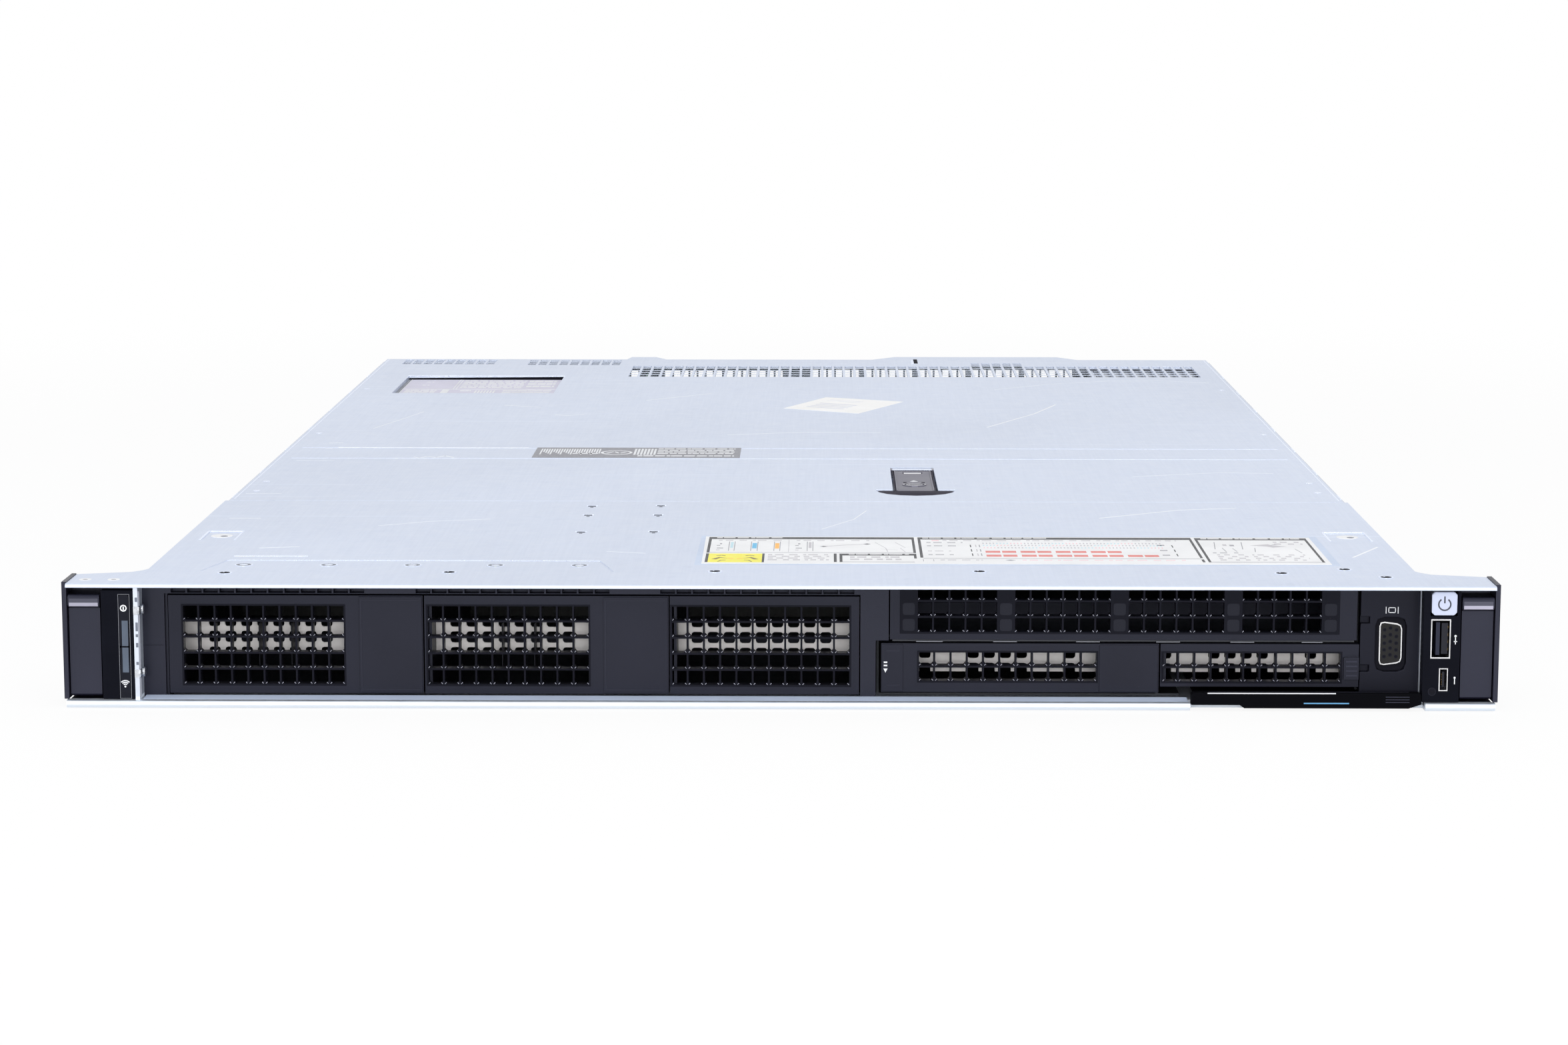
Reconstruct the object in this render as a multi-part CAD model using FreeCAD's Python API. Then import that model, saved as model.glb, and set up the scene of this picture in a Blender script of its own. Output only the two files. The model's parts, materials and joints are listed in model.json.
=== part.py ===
import FreeCAD, Part
import math
import os

# 1U rack server, drive-blank front, in millimetres.
# X runs across the front, Y runs from the front (-) to the rear (+), Z is up.
# Depths in this file are measured back from the front edge of the sheet-metal lips.

# ---- main sizes -------------------------------------------------------------
EAR_SPAN = 482.0        # across the rack ears
DRAWN_SPAN = 482.0      # span for which every position across is written below
ACROSS = EAR_SPAN / DRAWN_SPAN      # stretches all of them when the span changes
BODY_W = 434.0          # chassis, side to side
BODY_H = 42.8           # one rack unit less its running gap; top of the ear cheeks
TOP_Z = 42.5            # top of the cover and front panel sheets
FRONT_Y = -367.5        # front edge of the lips
TAIL_DEPTH = 735.0      # ends of the supply handles
HANDLE_L = 33.0         # supply handle, behind the case
PSU_PROUD = 2.0         # supply cases stand out of the rear wall
PSU_D1 = TAIL_DEPTH - HANDLE_L
REAR_DEPTH = PSU_D1 - PSU_PROUD     # outer face of the rear wall
FLOOR_T = 1.2           # chassis floor sheet
SIDE_T = 1.5            # chassis side sheet
CHEEK_T = 1.6           # cheek plates outside the ears
REAR_T = 1.2            # rear wall sheet
LID_T = 1.2             # cover and front top panel sheet
SEAM_DEPTH = 191.5      # joint between front top panel and cover
SEAM_GAP = 0.5
COVER_W = 431.0         # cover is a little narrower than the chassis
RUN_GAP = 0.3           # clearance between pieces that move past each other

HALF_W = BODY_W / 2
HALF_EAR = DRAWN_SPAN / 2
WALL_IN = HALF_W - SIDE_T
LID_Z = TOP_Z - LID_T

# ---- front bay --------------------------------------------------------------
BAY_DEPTH = 10.0        # bay faces stand this far behind the lips
LATTICE_T = 4.0         # depth of the moulded grilles
CELL_PITCH = 5.5        # grille cells, both ways
RIB_T = 0.65            # rib between two cells
BIG_Z0, BIG_Z1 = 3.3, 37.0
SMALL_Z0, SMALL_Z1 = 4.2, 21.0
TAG_Z0, TAG_Z1 = 0.8, 6.0
BLANK5_Z0 = TAG_Z1 + RUN_GAP
SHELF_Z0, SHELF_Z1 = 21.3, 22.0
FILLER_Z0, FILLER_Z1 = 22.3, 41.0
TOP_ROW_Z0, TOP_ROW_Z1 = 37.5, 41.1
TOP_ROW_COLUMNS = 12
BLANK_LENGTH = 85.0     # how far a blank's side rails reach back
SCREEN_BACK = 12.0      # screen stands this far behind the grille
SCREEN_T = 0.8
SCREEN_HOLE = 3.9
BIG_SCREEN_H = 2 * CELL_PITCH
SMALL_SCREEN_H = 8.9
RAIL_IN = 1.2           # blank rails stand in from the edge of its face
RAIL_T = 1.0
PANEL_PROUD = 0.4
CAGE_D0, CAGE_D1 = 20.0, 165.0
CAGE_T = 1.0
CAGE_FLOOR_T = 0.8

# ---- cover latch ------------------------------------------------------------
LATCH_X = 51.0
THUMB_D = 222.0         # where the lever widens into its thumb end
TRAY_FLOOR_Z = 37.8
LEVER_W = 15.0
THUMB_W = 30.0
HINGE_D, HINGE_Z, HINGE_R = 284.5, 41.0, 1.2
TRAY_D1 = HINGE_D + 3.5
LOCK_D, LOCK_R = THUMB_D + 19.0, 3.5

# ---- fans -------------------------------------------------------------------
FAN_COUNT = 7
FAN_PITCH = 60.0
FAN_SIDE = 40.0
FAN_D0, FAN_D1 = 306.0, 334.0
FAN_Z = FLOOR_T + FAN_SIDE / 2 - 0.5
FAN_BORE_R = 18.2
ROTOR_TIP_R = 16.4
ROTOR_HUB_R = 9.5

# ---- power supplies ---------------------------------------------------------
PSU_W = 60.5
PSU_Z0, PSU_Z1 = 1.5, 39.9
PSU_LENGTH = 184.5
PSU_D0 = PSU_D1 - PSU_LENGTH
SOCKET_D1 = PSU_D0 - 0.5            # board sockets end just short of the supplies
SOCKET_D0 = SOCKET_D1 - 17.0
MID_D1 = SOCKET_D0 - 1.0            # coolers and memory end here
BAY_WALL_X = 153.6      # outer face of each supply bay's inner wall
BAY_WALL_TOP = 40.2
PSU_X0 = BAY_WALL_X + 0.6

# ---- inside boards ----------------------------------------------------------
BOARD_Z0, BOARD_Z1 = 6.0, 7.6
STANDOFF = 6.0

# ---- rail studs -------------------------------------------------------------
STUD_DEPTHS = (45.0, REAR_DEPTH / 2 - 5.0, REAR_DEPTH - 60.0)
STUD_Z = 21.4
STUD_SHANK_R, STUD_SHANK_L = 3.0, 3.4
STUD_HEAD_R, STUD_HEAD_L = 4.6, 1.6


def vec(x, depth, z):
    """Point from a position across, a depth behind the front and a height."""
    return FreeCAD.Vector(x * ACROSS, FRONT_Y + depth, z)


def block(x0, x1, d0, d1, z0, z1):
    """Box between two positions across, two depths and two heights."""
    return Part.makeBox((x1 - x0) * ACROSS, d1 - d0, z1 - z0, vec(x0, d0, z0))


def prism_up(outline, z0, z1):
    """Outline of (across, depth) points raised from z0 to z1."""
    points = [vec(x, d, z0) for x, d in outline]
    face = Part.Face(Part.makePolygon(points + points[:1]))
    return face.extrude(FreeCAD.Vector(0, 0, z1 - z0))


def prism_across(outline, x0, x1):
    """Outline of (depth, height) points drawn out from x0 to x1."""
    points = [vec(x0, d, z) for d, z in outline]
    face = Part.Face(Part.makePolygon(points + points[:1]))
    return face.extrude(FreeCAD.Vector((x1 - x0) * ACROSS, 0, 0))


def prism_back(outline, d0, d1):
    """Outline of (across, height) points drawn back from d0 to d1."""
    points = [vec(x, d0, z) for x, z in outline]
    face = Part.Face(Part.makePolygon(points + points[:1]))
    return face.extrude(FreeCAD.Vector(0, d1 - d0, 0))


def rod_across(x0, x1, depth, z, radius):
    return Part.makeCylinder(radius, (x1 - x0) * ACROSS, vec(x0, depth, z), FreeCAD.Vector(1, 0, 0))


def facet_rod_across(x0, x1, depth, z, radius, sides):
    """Small round piece drawn with flat sides."""
    return prism_across(ring_of_points(depth, z, radius, sides), x0, x1)


def rod_up(x, depth, radius, z0, z1):
    return Part.makeCylinder(radius, z1 - z0, vec(x, depth, z0), FreeCAD.Vector(0, 0, 1))


def ring_of_points(cx, cz, radius, count):
    """Corners of a regular outline with flats at the top and the sides."""
    step = 2 * math.pi / count
    return [(cx + radius * math.cos(step * (i + 0.5)), cz + radius * math.sin(step * (i + 0.5)))
            for i in range(count)]


def rounded(corners, radius, steps=3):
    """Outline with every corner replaced by a short arc; corners are (u, v) points."""
    points = []
    count = len(corners)
    for i in range(count):
        here = FreeCAD.Vector(corners[i][0], corners[i][1], 0)
        before = FreeCAD.Vector(corners[i - 1][0], corners[i - 1][1], 0)
        after = FreeCAD.Vector(corners[(i + 1) % count][0], corners[(i + 1) % count][1], 0)
        start = here + (before - here).normalize() * radius
        end = here + (after - here).normalize() * radius
        for k in range(steps):
            t = k / (steps - 1)
            point = start * (1 - t) ** 2 + here * (2 * t * (1 - t)) + end * t ** 2
            points.append((point.x, point.y))
    return points


def join(shapes):
    """One solid from touching or overlapping solids."""
    whole = shapes[0].multiFuse(shapes[1:]).removeSplitter()
    return whole.Solids[0] if len(whole.Solids) == 1 else whole


def carve(shape, tools):
    """The shape with the tools cut away."""
    rest = shape.cut(tools)
    return rest.Solids[0] if len(rest.Solids) == 1 else rest


def upright_edges(shape, direction):
    """Straight edges of the shape that run along the given direction."""
    found = []
    for edge in shape.Edges:
        if not isinstance(edge.Curve, Part.Line):
            continue
        along = edge.tangentAt(edge.FirstParameter)
        if abs(abs(along.dot(direction)) - 1) < 1e-6:
            found.append(edge)
    return found


def mirrored(shape):
    """The same piece on the other side of the server."""
    return shape.mirror(FreeCAD.Vector(0, 0, 0), FreeCAD.Vector(1, 0, 0))


def save(name, shape):
    shape.exportStep("parts/" + name + ".step")


# ---- chassis ----------------------------------------------------------------
TAG_GAP_X0, TAG_GAP_X1 = 137.8, 216.6
LIP_H = 2.7
LIP_T = 3.0
LIP_HALF = 240.0
SLOT_COVER_SPANS = ((-148.0, -80.0), (-72.0, -4.0))
SLOT_Z0, SLOT_Z1 = 23.4, 38.6
OCP_X0, OCP_X1, OCP_Z0, OCP_Z1 = 20.0, 98.0, 3.4, 20.0
NET_PORT_X = (-140.0, -122.0)
NET_W, NET_H = 16.0, 13.2
USB_REAR_X0, USB_REAR_W, USB_REAR_H = -100.0, 14.2, 14.2
VGA_REAR_X0, VGA_REAR_W, VGA_REAR_H = -68.0, 31.0, 12.4
REAR_BUTTON_X, REAR_BUTTON_Z, REAR_BUTTON_SIDE = -22.0, 13.5, 4.4


def rear_openings():
    """Cut-outs in the rear wall, each matched to the piece that fills it."""
    d0, d1 = REAR_DEPTH - REAR_T - 1, REAR_DEPTH + 1
    cuts = [block(BAY_WALL_X, WALL_IN, d0, d1, FLOOR_T, BAY_WALL_TOP),
            block(-WALL_IN, -BAY_WALL_X, d0, d1, FLOOR_T, BAY_WALL_TOP),
            block(OCP_X0, OCP_X1, d0, d1, OCP_Z0, OCP_Z1),
            block(VGA_REAR_X0 - 0.2, VGA_REAR_X0 + VGA_REAR_W + 0.2, d0, d1,
                  BOARD_Z1, BOARD_Z1 + VGA_REAR_H + 0.2),
            block(USB_REAR_X0 - 0.2, USB_REAR_X0 + USB_REAR_W + 0.2, d0, d1,
                  BOARD_Z1, BOARD_Z1 + USB_REAR_H + 0.2)]
    for x0, x1 in SLOT_COVER_SPANS:
        cuts.append(block(x0, x1, d0, d1, SLOT_Z0, SLOT_Z1))
    for x0 in NET_PORT_X:
        cuts.append(block(x0 - 0.2, x0 + NET_W + 0.2, d0, d1, BOARD_Z1, BOARD_Z1 + NET_H + 0.2))
    half = REAR_BUTTON_SIDE / 2 + RUN_GAP
    cuts.append(block(REAR_BUTTON_X - half, REAR_BUTTON_X + half, d0, d1,
                      REAR_BUTTON_Z - half, REAR_BUTTON_Z + half))
    for i in range(5):
        x0 = 8.0 + i * 28.0
        cuts.append(block(x0, x0 + 25.0, d0, d1, 24.5, 37.5))
    return cuts


def bottom_lip():
    """Rounded hem along the front of the floor, with the gap for the tag."""
    hem = block(-LIP_HALF, LIP_HALF, 0, LIP_T, 0, LIP_H)
    rounding = [e for e in upright_edges(hem, FreeCAD.Vector(1, 0, 0))
                if e.CenterOfMass.y < FRONT_Y + 1]
    hem = hem.makeFillet(1.3, rounding)
    apron = block(-LIP_HALF, LIP_HALF, LIP_T - 0.5, 12.0, 0, FLOOR_T)
    return [hem, apron]


def chassis_base():
    wall_d0 = REAR_DEPTH - REAR_T
    sheets = [block(-HALF_W, HALF_W, 2.0, REAR_DEPTH, 0, FLOOR_T)]
    sheets += bottom_lip()
    sheets.append(block(-HALF_W, -WALL_IN, 2.0, REAR_DEPTH, 0, LID_Z))
    sheets.append(block(WALL_IN, HALF_W, 8.0, REAR_DEPTH, 0, LID_Z))
    for side in (-1, 1):
        x_in, x_out = sorted((side * 208.0, side * WALL_IN))
        sheets.append(block(x_in, x_out, SEAM_DEPTH + 6, wall_d0, LID_Z - 1.0, LID_Z))
        x_in, x_out = sorted((side * (BAY_WALL_X - 1.2), side * BAY_WALL_X))
        sheets.append(block(x_in, x_out, PSU_D0 - 5.5, wall_d0, 0, BAY_WALL_TOP))
    for x in (-140.0, 140.0):
        for depth in (380.0, MID_D1 + 6.0, REAR_DEPTH - 20.0):
            half = STANDOFF / 2
            sheets.append(block(x - half, x + half, depth - half, depth + half, 0, BOARD_Z0))
    return carve(join(sheets), [block(TAG_GAP_X0, TAG_GAP_X1, -1, 6.0, -1, 4)])


def rear_wall():
    """Sheet between the chassis sides, with an opening for each rear fitting."""
    sheet = block(-WALL_IN, WALL_IN, REAR_DEPTH - REAR_T, REAR_DEPTH, FLOOR_T, LID_Z)
    return carve(sheet, rear_openings())


SEAM_GROOVE_D = 49.0


def front_top_panel():
    """Fixed front part of the top: wings over the ears, folded lip, border seam."""
    half_wing = HALF_EAR - CHEEK_T
    right = [(half_wing, 0.0), (half_wing, 19.5), (221.5, 24.4), (218.5, 27.8), (HALF_W, 31.0),
             (HALF_W, SEAM_DEPTH)]
    left = [(-x, depth) for x, depth in reversed(right)]
    sheet = prism_up(right + left, LID_Z, TOP_Z)
    fold = block(-half_wing, half_wing, 0, 1.6, LID_Z - 0.2, TOP_Z)
    whole = join([sheet, fold])
    edge = [e for e in upright_edges(whole, FreeCAD.Vector(1, 0, 0))
            if e.CenterOfMass.y < FRONT_Y + 0.1 and e.CenterOfMass.z > LID_Z + 0.5]
    whole = whole.makeFillet(1.0, edge)
    depth, width = 0.25, 0.6
    groove = prism_up([(-198.6, 27.0), (-198.0, 27.0), (-192.4, SEAM_GROOVE_D - width),
                       (-63.3, SEAM_GROOVE_D - width), (-57.6, 27.0), (-57.0, 27.0),
                       (-62.8, SEAM_GROOVE_D), (-193.0, SEAM_GROOVE_D)],
                      TOP_Z - depth, TOP_Z + 1)
    pads = []
    for x0, x1, d0, d1 in ((-209.8, -198.0, 94.6, 114.3), (197.5, 211.7, 96.4, 116.4)):
        pads.append(block(x0, x1, d0, d1, TOP_Z - depth, TOP_Z + 1))
    return carve(whole, [groove] + pads)


# ---- rack ears and what they carry -------------------------------------------
EAR_TOP = LID_Z
CAP_X0, CAP_X1 = 228.1, 239.4
CAP_POCKET_D = 12.7
PANEL_D0, PANEL_D1 = 2.0, 8.0
PANEL_Z0 = 2.8


def rack_ear(panel_z1, usb_pocket):
    """Right-hand ear: moulded body, cheek plate and pockets for cap and panel."""
    plan = [(HALF_W, 3.2), (HALF_EAR - CHEEK_T, 3.2), (HALF_EAR - CHEEK_T, 19.9), (221.5, 24.4),
            (218.5, 27.8), (HALF_W, 30.0)]
    body = prism_up(plan, FLOOR_T, EAR_TOP)
    cheek = block(HALF_EAR - CHEEK_T, HALF_EAR, 2.0, 19.5, PANEL_Z0, BODY_H)
    whole = join([body, cheek])
    cuts = [block(CAP_X0, CAP_X1, 1, CAP_POCKET_D, 2.4, 40.8),
            block(HALF_W - 1, CAP_X0 + 0.1, 1, PANEL_D1, 2.4, panel_z1)]
    if usb_pocket:
        cuts.append(block(217.4, 225.4, PANEL_D1 - 1, 17.0, 17.0, 31.7))
    return carve(whole, cuts)


def slam_latch():
    """Right-hand cap that frees the ear: textured face with a finger lip."""
    side = [(3.5, 4.2), (4.3, 3.5), (11.4, 3.5), (12.0, 4.2), (12.0, 38.4), (2.6, 38.4), (2.0, 37.6),
            (2.0, 34.9), (2.6, 34.2), (3.5, 33.8)]
    return prism_across(side, CAP_X0 + RUN_GAP, CAP_X1 - RUN_GAP)


STRIP_X0, STRIP_X1 = -221.8, -218.6
STRIP_Z0, STRIP_SPLIT, STRIP_Z1 = 3.2, 20.7, 38.3


def left_control_panel():
    plate = block(-227.9, -HALF_W, PANEL_D0, PANEL_D1, PANEL_Z0, 40.0)
    pocket = block(STRIP_X0 - 0.2, STRIP_X1 + 0.2, 1, 6.0, STRIP_Z0 - 0.2, STRIP_Z1 + 0.2)
    return carve(plate, [pocket])


def strip_button(z0, z1):
    """One half of the long strip in the left panel."""
    key = block(STRIP_X0, STRIP_X1, 1.8, 4.8, z0, z1)
    return key.makeChamfer(0.35, upright_edges(key, FreeCAD.Vector(0, 1, 0)))


POWER_X0, POWER_X1, POWER_Z0, POWER_Z1 = 218.1, 226.5, 32.5, 40.4
USB_X0, USB_X1, USB_Z0, USB_Z1 = 218.0, 224.8, 17.6, 31.1
MICRO_X0, MICRO_X1, MICRO_Z0, MICRO_Z1 = 221.1, 224.2, 6.5, 14.4


def right_control_panel():
    plate = block(WALL_IN + 0.1, 227.9, PANEL_D0, PANEL_D1, PANEL_Z0, 41.0)
    return carve(plate, [
        block(POWER_X0 - RUN_GAP, POWER_X1 + RUN_GAP, 1, 7.2, POWER_Z0 - RUN_GAP, POWER_Z1 + RUN_GAP),
        block(USB_X0, USB_X1, 1, 9, USB_Z0, USB_Z1),
        block(MICRO_X0, MICRO_X1, 1, 9, MICRO_Z0, MICRO_Z1)])


def power_button():
    key = block(POWER_X0, POWER_X1, 1.5, 5.8, POWER_Z0, POWER_Z1)
    return key.makeChamfer(0.9, upright_edges(key, FreeCAD.Vector(0, 1, 0)))


def usb_a_port():
    """Metal shell and tongue of the upright socket."""
    shell = block(USB_X0, USB_X1, 2.2, 16.0, USB_Z0, USB_Z1)
    hollow = block(USB_X0 + 0.5, USB_X1 - 0.5, 1, 15.0, USB_Z0 + 0.5, USB_Z1 - 0.5)
    tongue = block(USB_X0 + 3.9, USB_X0 + 5.8, 3.4, 15.5, USB_Z0 + 1.6, USB_Z1 - 1.6)
    return join([carve(shell, [hollow]), tongue])


def micro_usb_port():
    shell = block(MICRO_X0, MICRO_X1, 2.2, PANEL_D1, MICRO_Z0, MICRO_Z1)
    hollow = block(MICRO_X0 + 0.4, MICRO_X1 - 0.4, 1, 7.2, MICRO_Z0 + 0.4, MICRO_Z1 - 0.4)
    tongue = block(MICRO_X0 + 1.2, MICRO_X0 + 1.9, 3.0, 7.5, MICRO_Z0 + 1.4, MICRO_Z1 - 1.4)
    return join([carve(shell, [hollow]), tongue])


def ear_rivets():
    """Round-headed rivets through the chassis sides, inside faces."""
    heads = []
    for z in (11.6, 33.1):
        heads.append(facet_rod_across(-WALL_IN, -WALL_IN + 1.5, 5.0, z, 1.7, 10))
        heads.append(facet_rod_across(WALL_IN - 1.5, WALL_IN, 36.0, z, 1.7, 10))
    return Part.makeCompound(heads)


# ---- grilles ----------------------------------------------------------------
def grille_cells(x0, z0, columns, rows, pitch_x, pitch_z, skip=()):
    """Square cells cut right through a bay face, counted from the left."""
    cells = []
    for i in range(columns):
        if i + 1 in skip:
            continue
        for j in range(rows):
            cx, cz = x0 + i * pitch_x, z0 + j * pitch_z
            cells.append(block(cx + RIB_T / 2, cx + pitch_x - RIB_T / 2,
                               BAY_DEPTH - 1, BAY_DEPTH + LATTICE_T + 1,
                               cz + RIB_T / 2, cz + pitch_z - RIB_T / 2))
    return cells


def blank_body(x0, x1, z0, z1, rail_d1, cells, proud):
    """Face with grille and side rails; proud lists the raised plain panels."""
    face_d1 = BAY_DEPTH + LATTICE_T
    face = carve(block(x0, x1, BAY_DEPTH, face_d1, z0, z1), cells)
    pieces = [face]
    for px0, px1 in proud:
        pieces.append(block(px0, px1, BAY_DEPTH - PANEL_PROUD, BAY_DEPTH + 1, z0 + 0.4, z1 - 0.4))
    for rx in (x0 + RAIL_IN, x1 - RAIL_IN - RAIL_T):
        pieces.append(block(rx, rx + RAIL_T, face_d1 - 1, rail_d1, z0 + 0.5, z1 - 0.5))
    pieces.append(block(x0 + RAIL_IN, x1 - RAIL_IN, rail_d1 - 3, rail_d1, z0 + 0.5, z0 + 4.5))
    return join(pieces)


# Each blank: left and right edge, first cell, columns and the plain panels on its face.
BIG_BLANKS = (
    (-206.7, -120.6, -202.1, 10, ((-142.2, -120.9),)),
    (-120.1, -37.5, -119.3, 10, ((-59.6, -37.8),)),
    (-37.1, 26.8, -36.7, 11, ()),
)
BIG_CELL_Z0 = 6.2
BIG_SCREEN_Z0 = 15.2
SMALL_SCREEN_Z0 = 7.4
SMALL_BLANKS = (
    (34.2, 128.0, 46.7, 11, ((34.4, 41.6), (107.9, 127.7)), SMALL_Z0),
    (128.5, 195.4, 129.0, 11, (), BLANK5_Z0),
)
SMALL_CELL_Z0 = 7.8
SMALL_PITCH_Z = 5.2
BAY_END = BAY_DEPTH + BLANK_LENGTH


def big_blank(number):
    x0, x1, cell_x, columns, panels = BIG_BLANKS[number]
    cells = grille_cells(cell_x, BIG_CELL_Z0, columns, 5, CELL_PITCH, CELL_PITCH)
    return blank_body(x0, x1, BIG_Z0, BIG_Z1, BAY_END, cells, panels)


def small_blank(number):
    x0, x1, cell_x, columns, panels, z0 = SMALL_BLANKS[number]
    cells = grille_cells(cell_x, SMALL_CELL_Z0, columns, 2, CELL_PITCH, SMALL_PITCH_Z)
    return blank_body(x0, x1, z0, SMALL_Z1, BAY_END, cells, panels)


def release_clip():
    """Squeeze clip at the right end of the last small blank."""
    return block(190.2, 195.3, BAY_DEPTH - 1.2, BAY_DEPTH + 0.5, 9.0, 16.7)


def screen(x0, x1, cell_x, columns, z0, height, skip=()):
    """Perforated steel strip between a blank's rails, behind its grille."""
    d0 = BAY_DEPTH + LATTICE_T + SCREEN_BACK
    left, right = x0 + RAIL_IN + RAIL_T, x1 - RAIL_IN - RAIL_T
    plate = block(left, right, d0, d0 + SCREEN_T, z0, z0 + height)
    margin = (CELL_PITCH - SCREEN_HOLE) / 2
    holes = []
    for i in range(columns):
        hx = cell_x + i * CELL_PITCH + margin
        if i + 1 in skip or hx < left + 1 or hx + SCREEN_HOLE > right - 1:
            continue
        holes.append(block(hx, hx + SCREEN_HOLE, d0 - 1, d0 + 2, z0 + margin, z0 + height - margin))
    flange = block(left, right, d0, d0 + 6.0, z0, z0 + margin - 0.2)
    return join([carve(plate, holes), flange])


def big_screen(number):
    x0, x1, cell_x, columns, panels = BIG_BLANKS[number]
    return screen(x0, x1, cell_x, columns, BIG_SCREEN_Z0, BIG_SCREEN_H, skip=(1, columns))


def small_screen(number):
    x0, x1, cell_x, columns, panels, z0 = SMALL_BLANKS[number]
    return screen(x0, x1, cell_x, columns, SMALL_SCREEN_Z0, SMALL_SCREEN_H, skip=(2, 3, 8, 9, 11))


def bay_frame():
    """Moulded frame: left column, row of cells over the big blanks, centre column."""
    d1 = BAY_DEPTH + LATTICE_T
    pieces = [block(-WALL_IN, -208.0, BAY_DEPTH, 30.0, FLOOR_T, TOP_ROW_Z1),
              block(-208.1, -207.1, BAY_DEPTH + 1.5, 19.5, FLOOR_T, TOP_ROW_Z1),
              block(27.2, 32.4, BAY_DEPTH, CAGE_D0, FLOOR_T, TOP_ROW_Z1),
              block(32.3, 36.8, BAY_DEPTH, 19.5, 21.9, TOP_ROW_Z1),
              block(-208.1, 27.3, BAY_DEPTH, d1, TOP_ROW_Z0, TOP_ROW_Z1)]
    cells = []
    for x0, x1, cell_x, columns, panels in BIG_BLANKS:
        for i in range(TOP_ROW_COLUMNS):
            cx = cell_x - 3.9 + i * CELL_PITCH
            cells.append(block(cx + RIB_T / 2, cx + CELL_PITCH - RIB_T / 2, BAY_DEPTH - 1,
                               d1 - 0.6, TOP_ROW_Z0 + 0.3, TOP_ROW_Z1 - 0.6))
    return carve(join(pieces), cells)


FILLER_X0, FILLER_X1 = 37.2, 194.5
FILLER_CELL_X = 40.75
FILLER_CELL_Z = 24.6


def wide_upper_filler():
    """Filler over the two small blanks, held between the shelf and the top."""
    cells = grille_cells(FILLER_CELL_X, FILLER_CELL_Z, 27, 3, 5.467, 5.467, (1, 7, 14, 21, 27))
    body = blank_body(FILLER_X0, FILLER_X1, FILLER_Z0, FILLER_Z1, 60.0, cells, ())
    foot = block(FILLER_X0 + 20, FILLER_X1 - 20, 57.0, 60.0, SHELF_Z1, FILLER_Z0 + 1)
    return join([body, foot])


VGA_X0, VGA_X1, VGA_Z0, VGA_Z1 = 200.8, 211.2, 11.7, 30.3


def vga_panel():
    """Panel at the right of the bay with the recess for the display socket."""
    d1 = BAY_DEPTH + LATTICE_T
    plate = block(195.7, 215.3, BAY_DEPTH, d1, 3.3, TOP_ROW_Z1)
    flange = block(214.3, WALL_IN, BAY_DEPTH, 30.0, 3.3, TOP_ROW_Z1)
    recess = prism_back(rounded([(VGA_X0, VGA_Z0), (VGA_X1, VGA_Z0), (VGA_X1, VGA_Z1), (VGA_X0, VGA_Z1)],
                                3.0), BAY_DEPTH - 1, BAY_DEPTH + 2)
    through = prism_back(d_outline(206.0, 21.2, 0.2), BAY_DEPTH + 1, d1 + 1)
    notches = [block(195, 198.8, BAY_DEPTH - 1, BAY_DEPTH + 2, z0, z0 + 2.3) for z0 in (11.6, 28.2)]
    return carve(join([plate, flange]), [recess, through] + notches)


def d_outline(cx, cz, grow):
    """D-shaped shell standing on end: one long side is shorter than the other."""
    wide, narrow, half_x = 7.7 + grow, 6.7 + grow, 3.9 + grow
    return rounded([(cx - half_x, cz - wide), (cx + half_x, cz - narrow),
                    (cx + half_x, cz + narrow), (cx - half_x, cz + wide)], 1.8 + grow)


def front_vga_connector():
    d1 = BAY_DEPTH + LATTICE_T
    shell = prism_back(d_outline(206.0, 21.2, 0.0), BAY_DEPTH + 0.6, d1 + 0.5)
    recess = prism_back(d_outline(206.0, 21.2, -0.5), BAY_DEPTH, BAY_DEPTH + 1.6)
    flange = block(201.0, 211.0, d1, d1 + 9.0, 8.6, 33.8)
    return join([carve(shell, [recess]), flange])


# ---- pull-out tag -----------------------------------------------------------
TAG_LENGTH = 102.0


def info_tag():
    """Flat tag with a thicker grip; blank, without any printing."""
    grip = prism_back([(138.2, 1.9), (154.4, 1.9), (156.0, TAG_Z0), (211.0, TAG_Z0), (215.3, 2.2),
                       (215.3, TAG_Z1 - 0.6), (214.7, TAG_Z1), (138.8, TAG_Z1),
                       (138.2, TAG_Z1 - 0.6)], 0.8, 4.2)
    tray = block(141.0, 213.0, 4.0, TAG_LENGTH, 1.6, 2.8)
    return join([grip, tray])


# ---- cage and backplane -------------------------------------------------------
def drive_cage():
    """Sheet floor, upright dividers and the shelf between the two right-hand rows."""
    plates = [block(-208.0, 136.0, CAGE_D0, CAGE_D1, FLOOR_T, FLOOR_T + CAGE_FLOOR_T)]
    for x in (-208.0, -120.85, -37.8, 32.7):
        plates.append(block(x, x + CAGE_T, CAGE_D0, CAGE_D1, FLOOR_T, 40.8))
    plates.append(block(127.75, 128.75, CAGE_D0, CAGE_D1, FLOOR_T, SHELF_Z1))
    plates.append(block(195.6, 196.6, CAGE_D0, CAGE_D1, 3.4, 40.8))
    plates.append(block(33.0, 196.6, CAGE_D0, CAGE_D1, SHELF_Z0, SHELF_Z1))
    plates.append(block(38.0, 194.0, BAY_DEPTH + 2, CAGE_D0 + 1, SHELF_Z0, SHELF_Z1))
    return join(plates)


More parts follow.
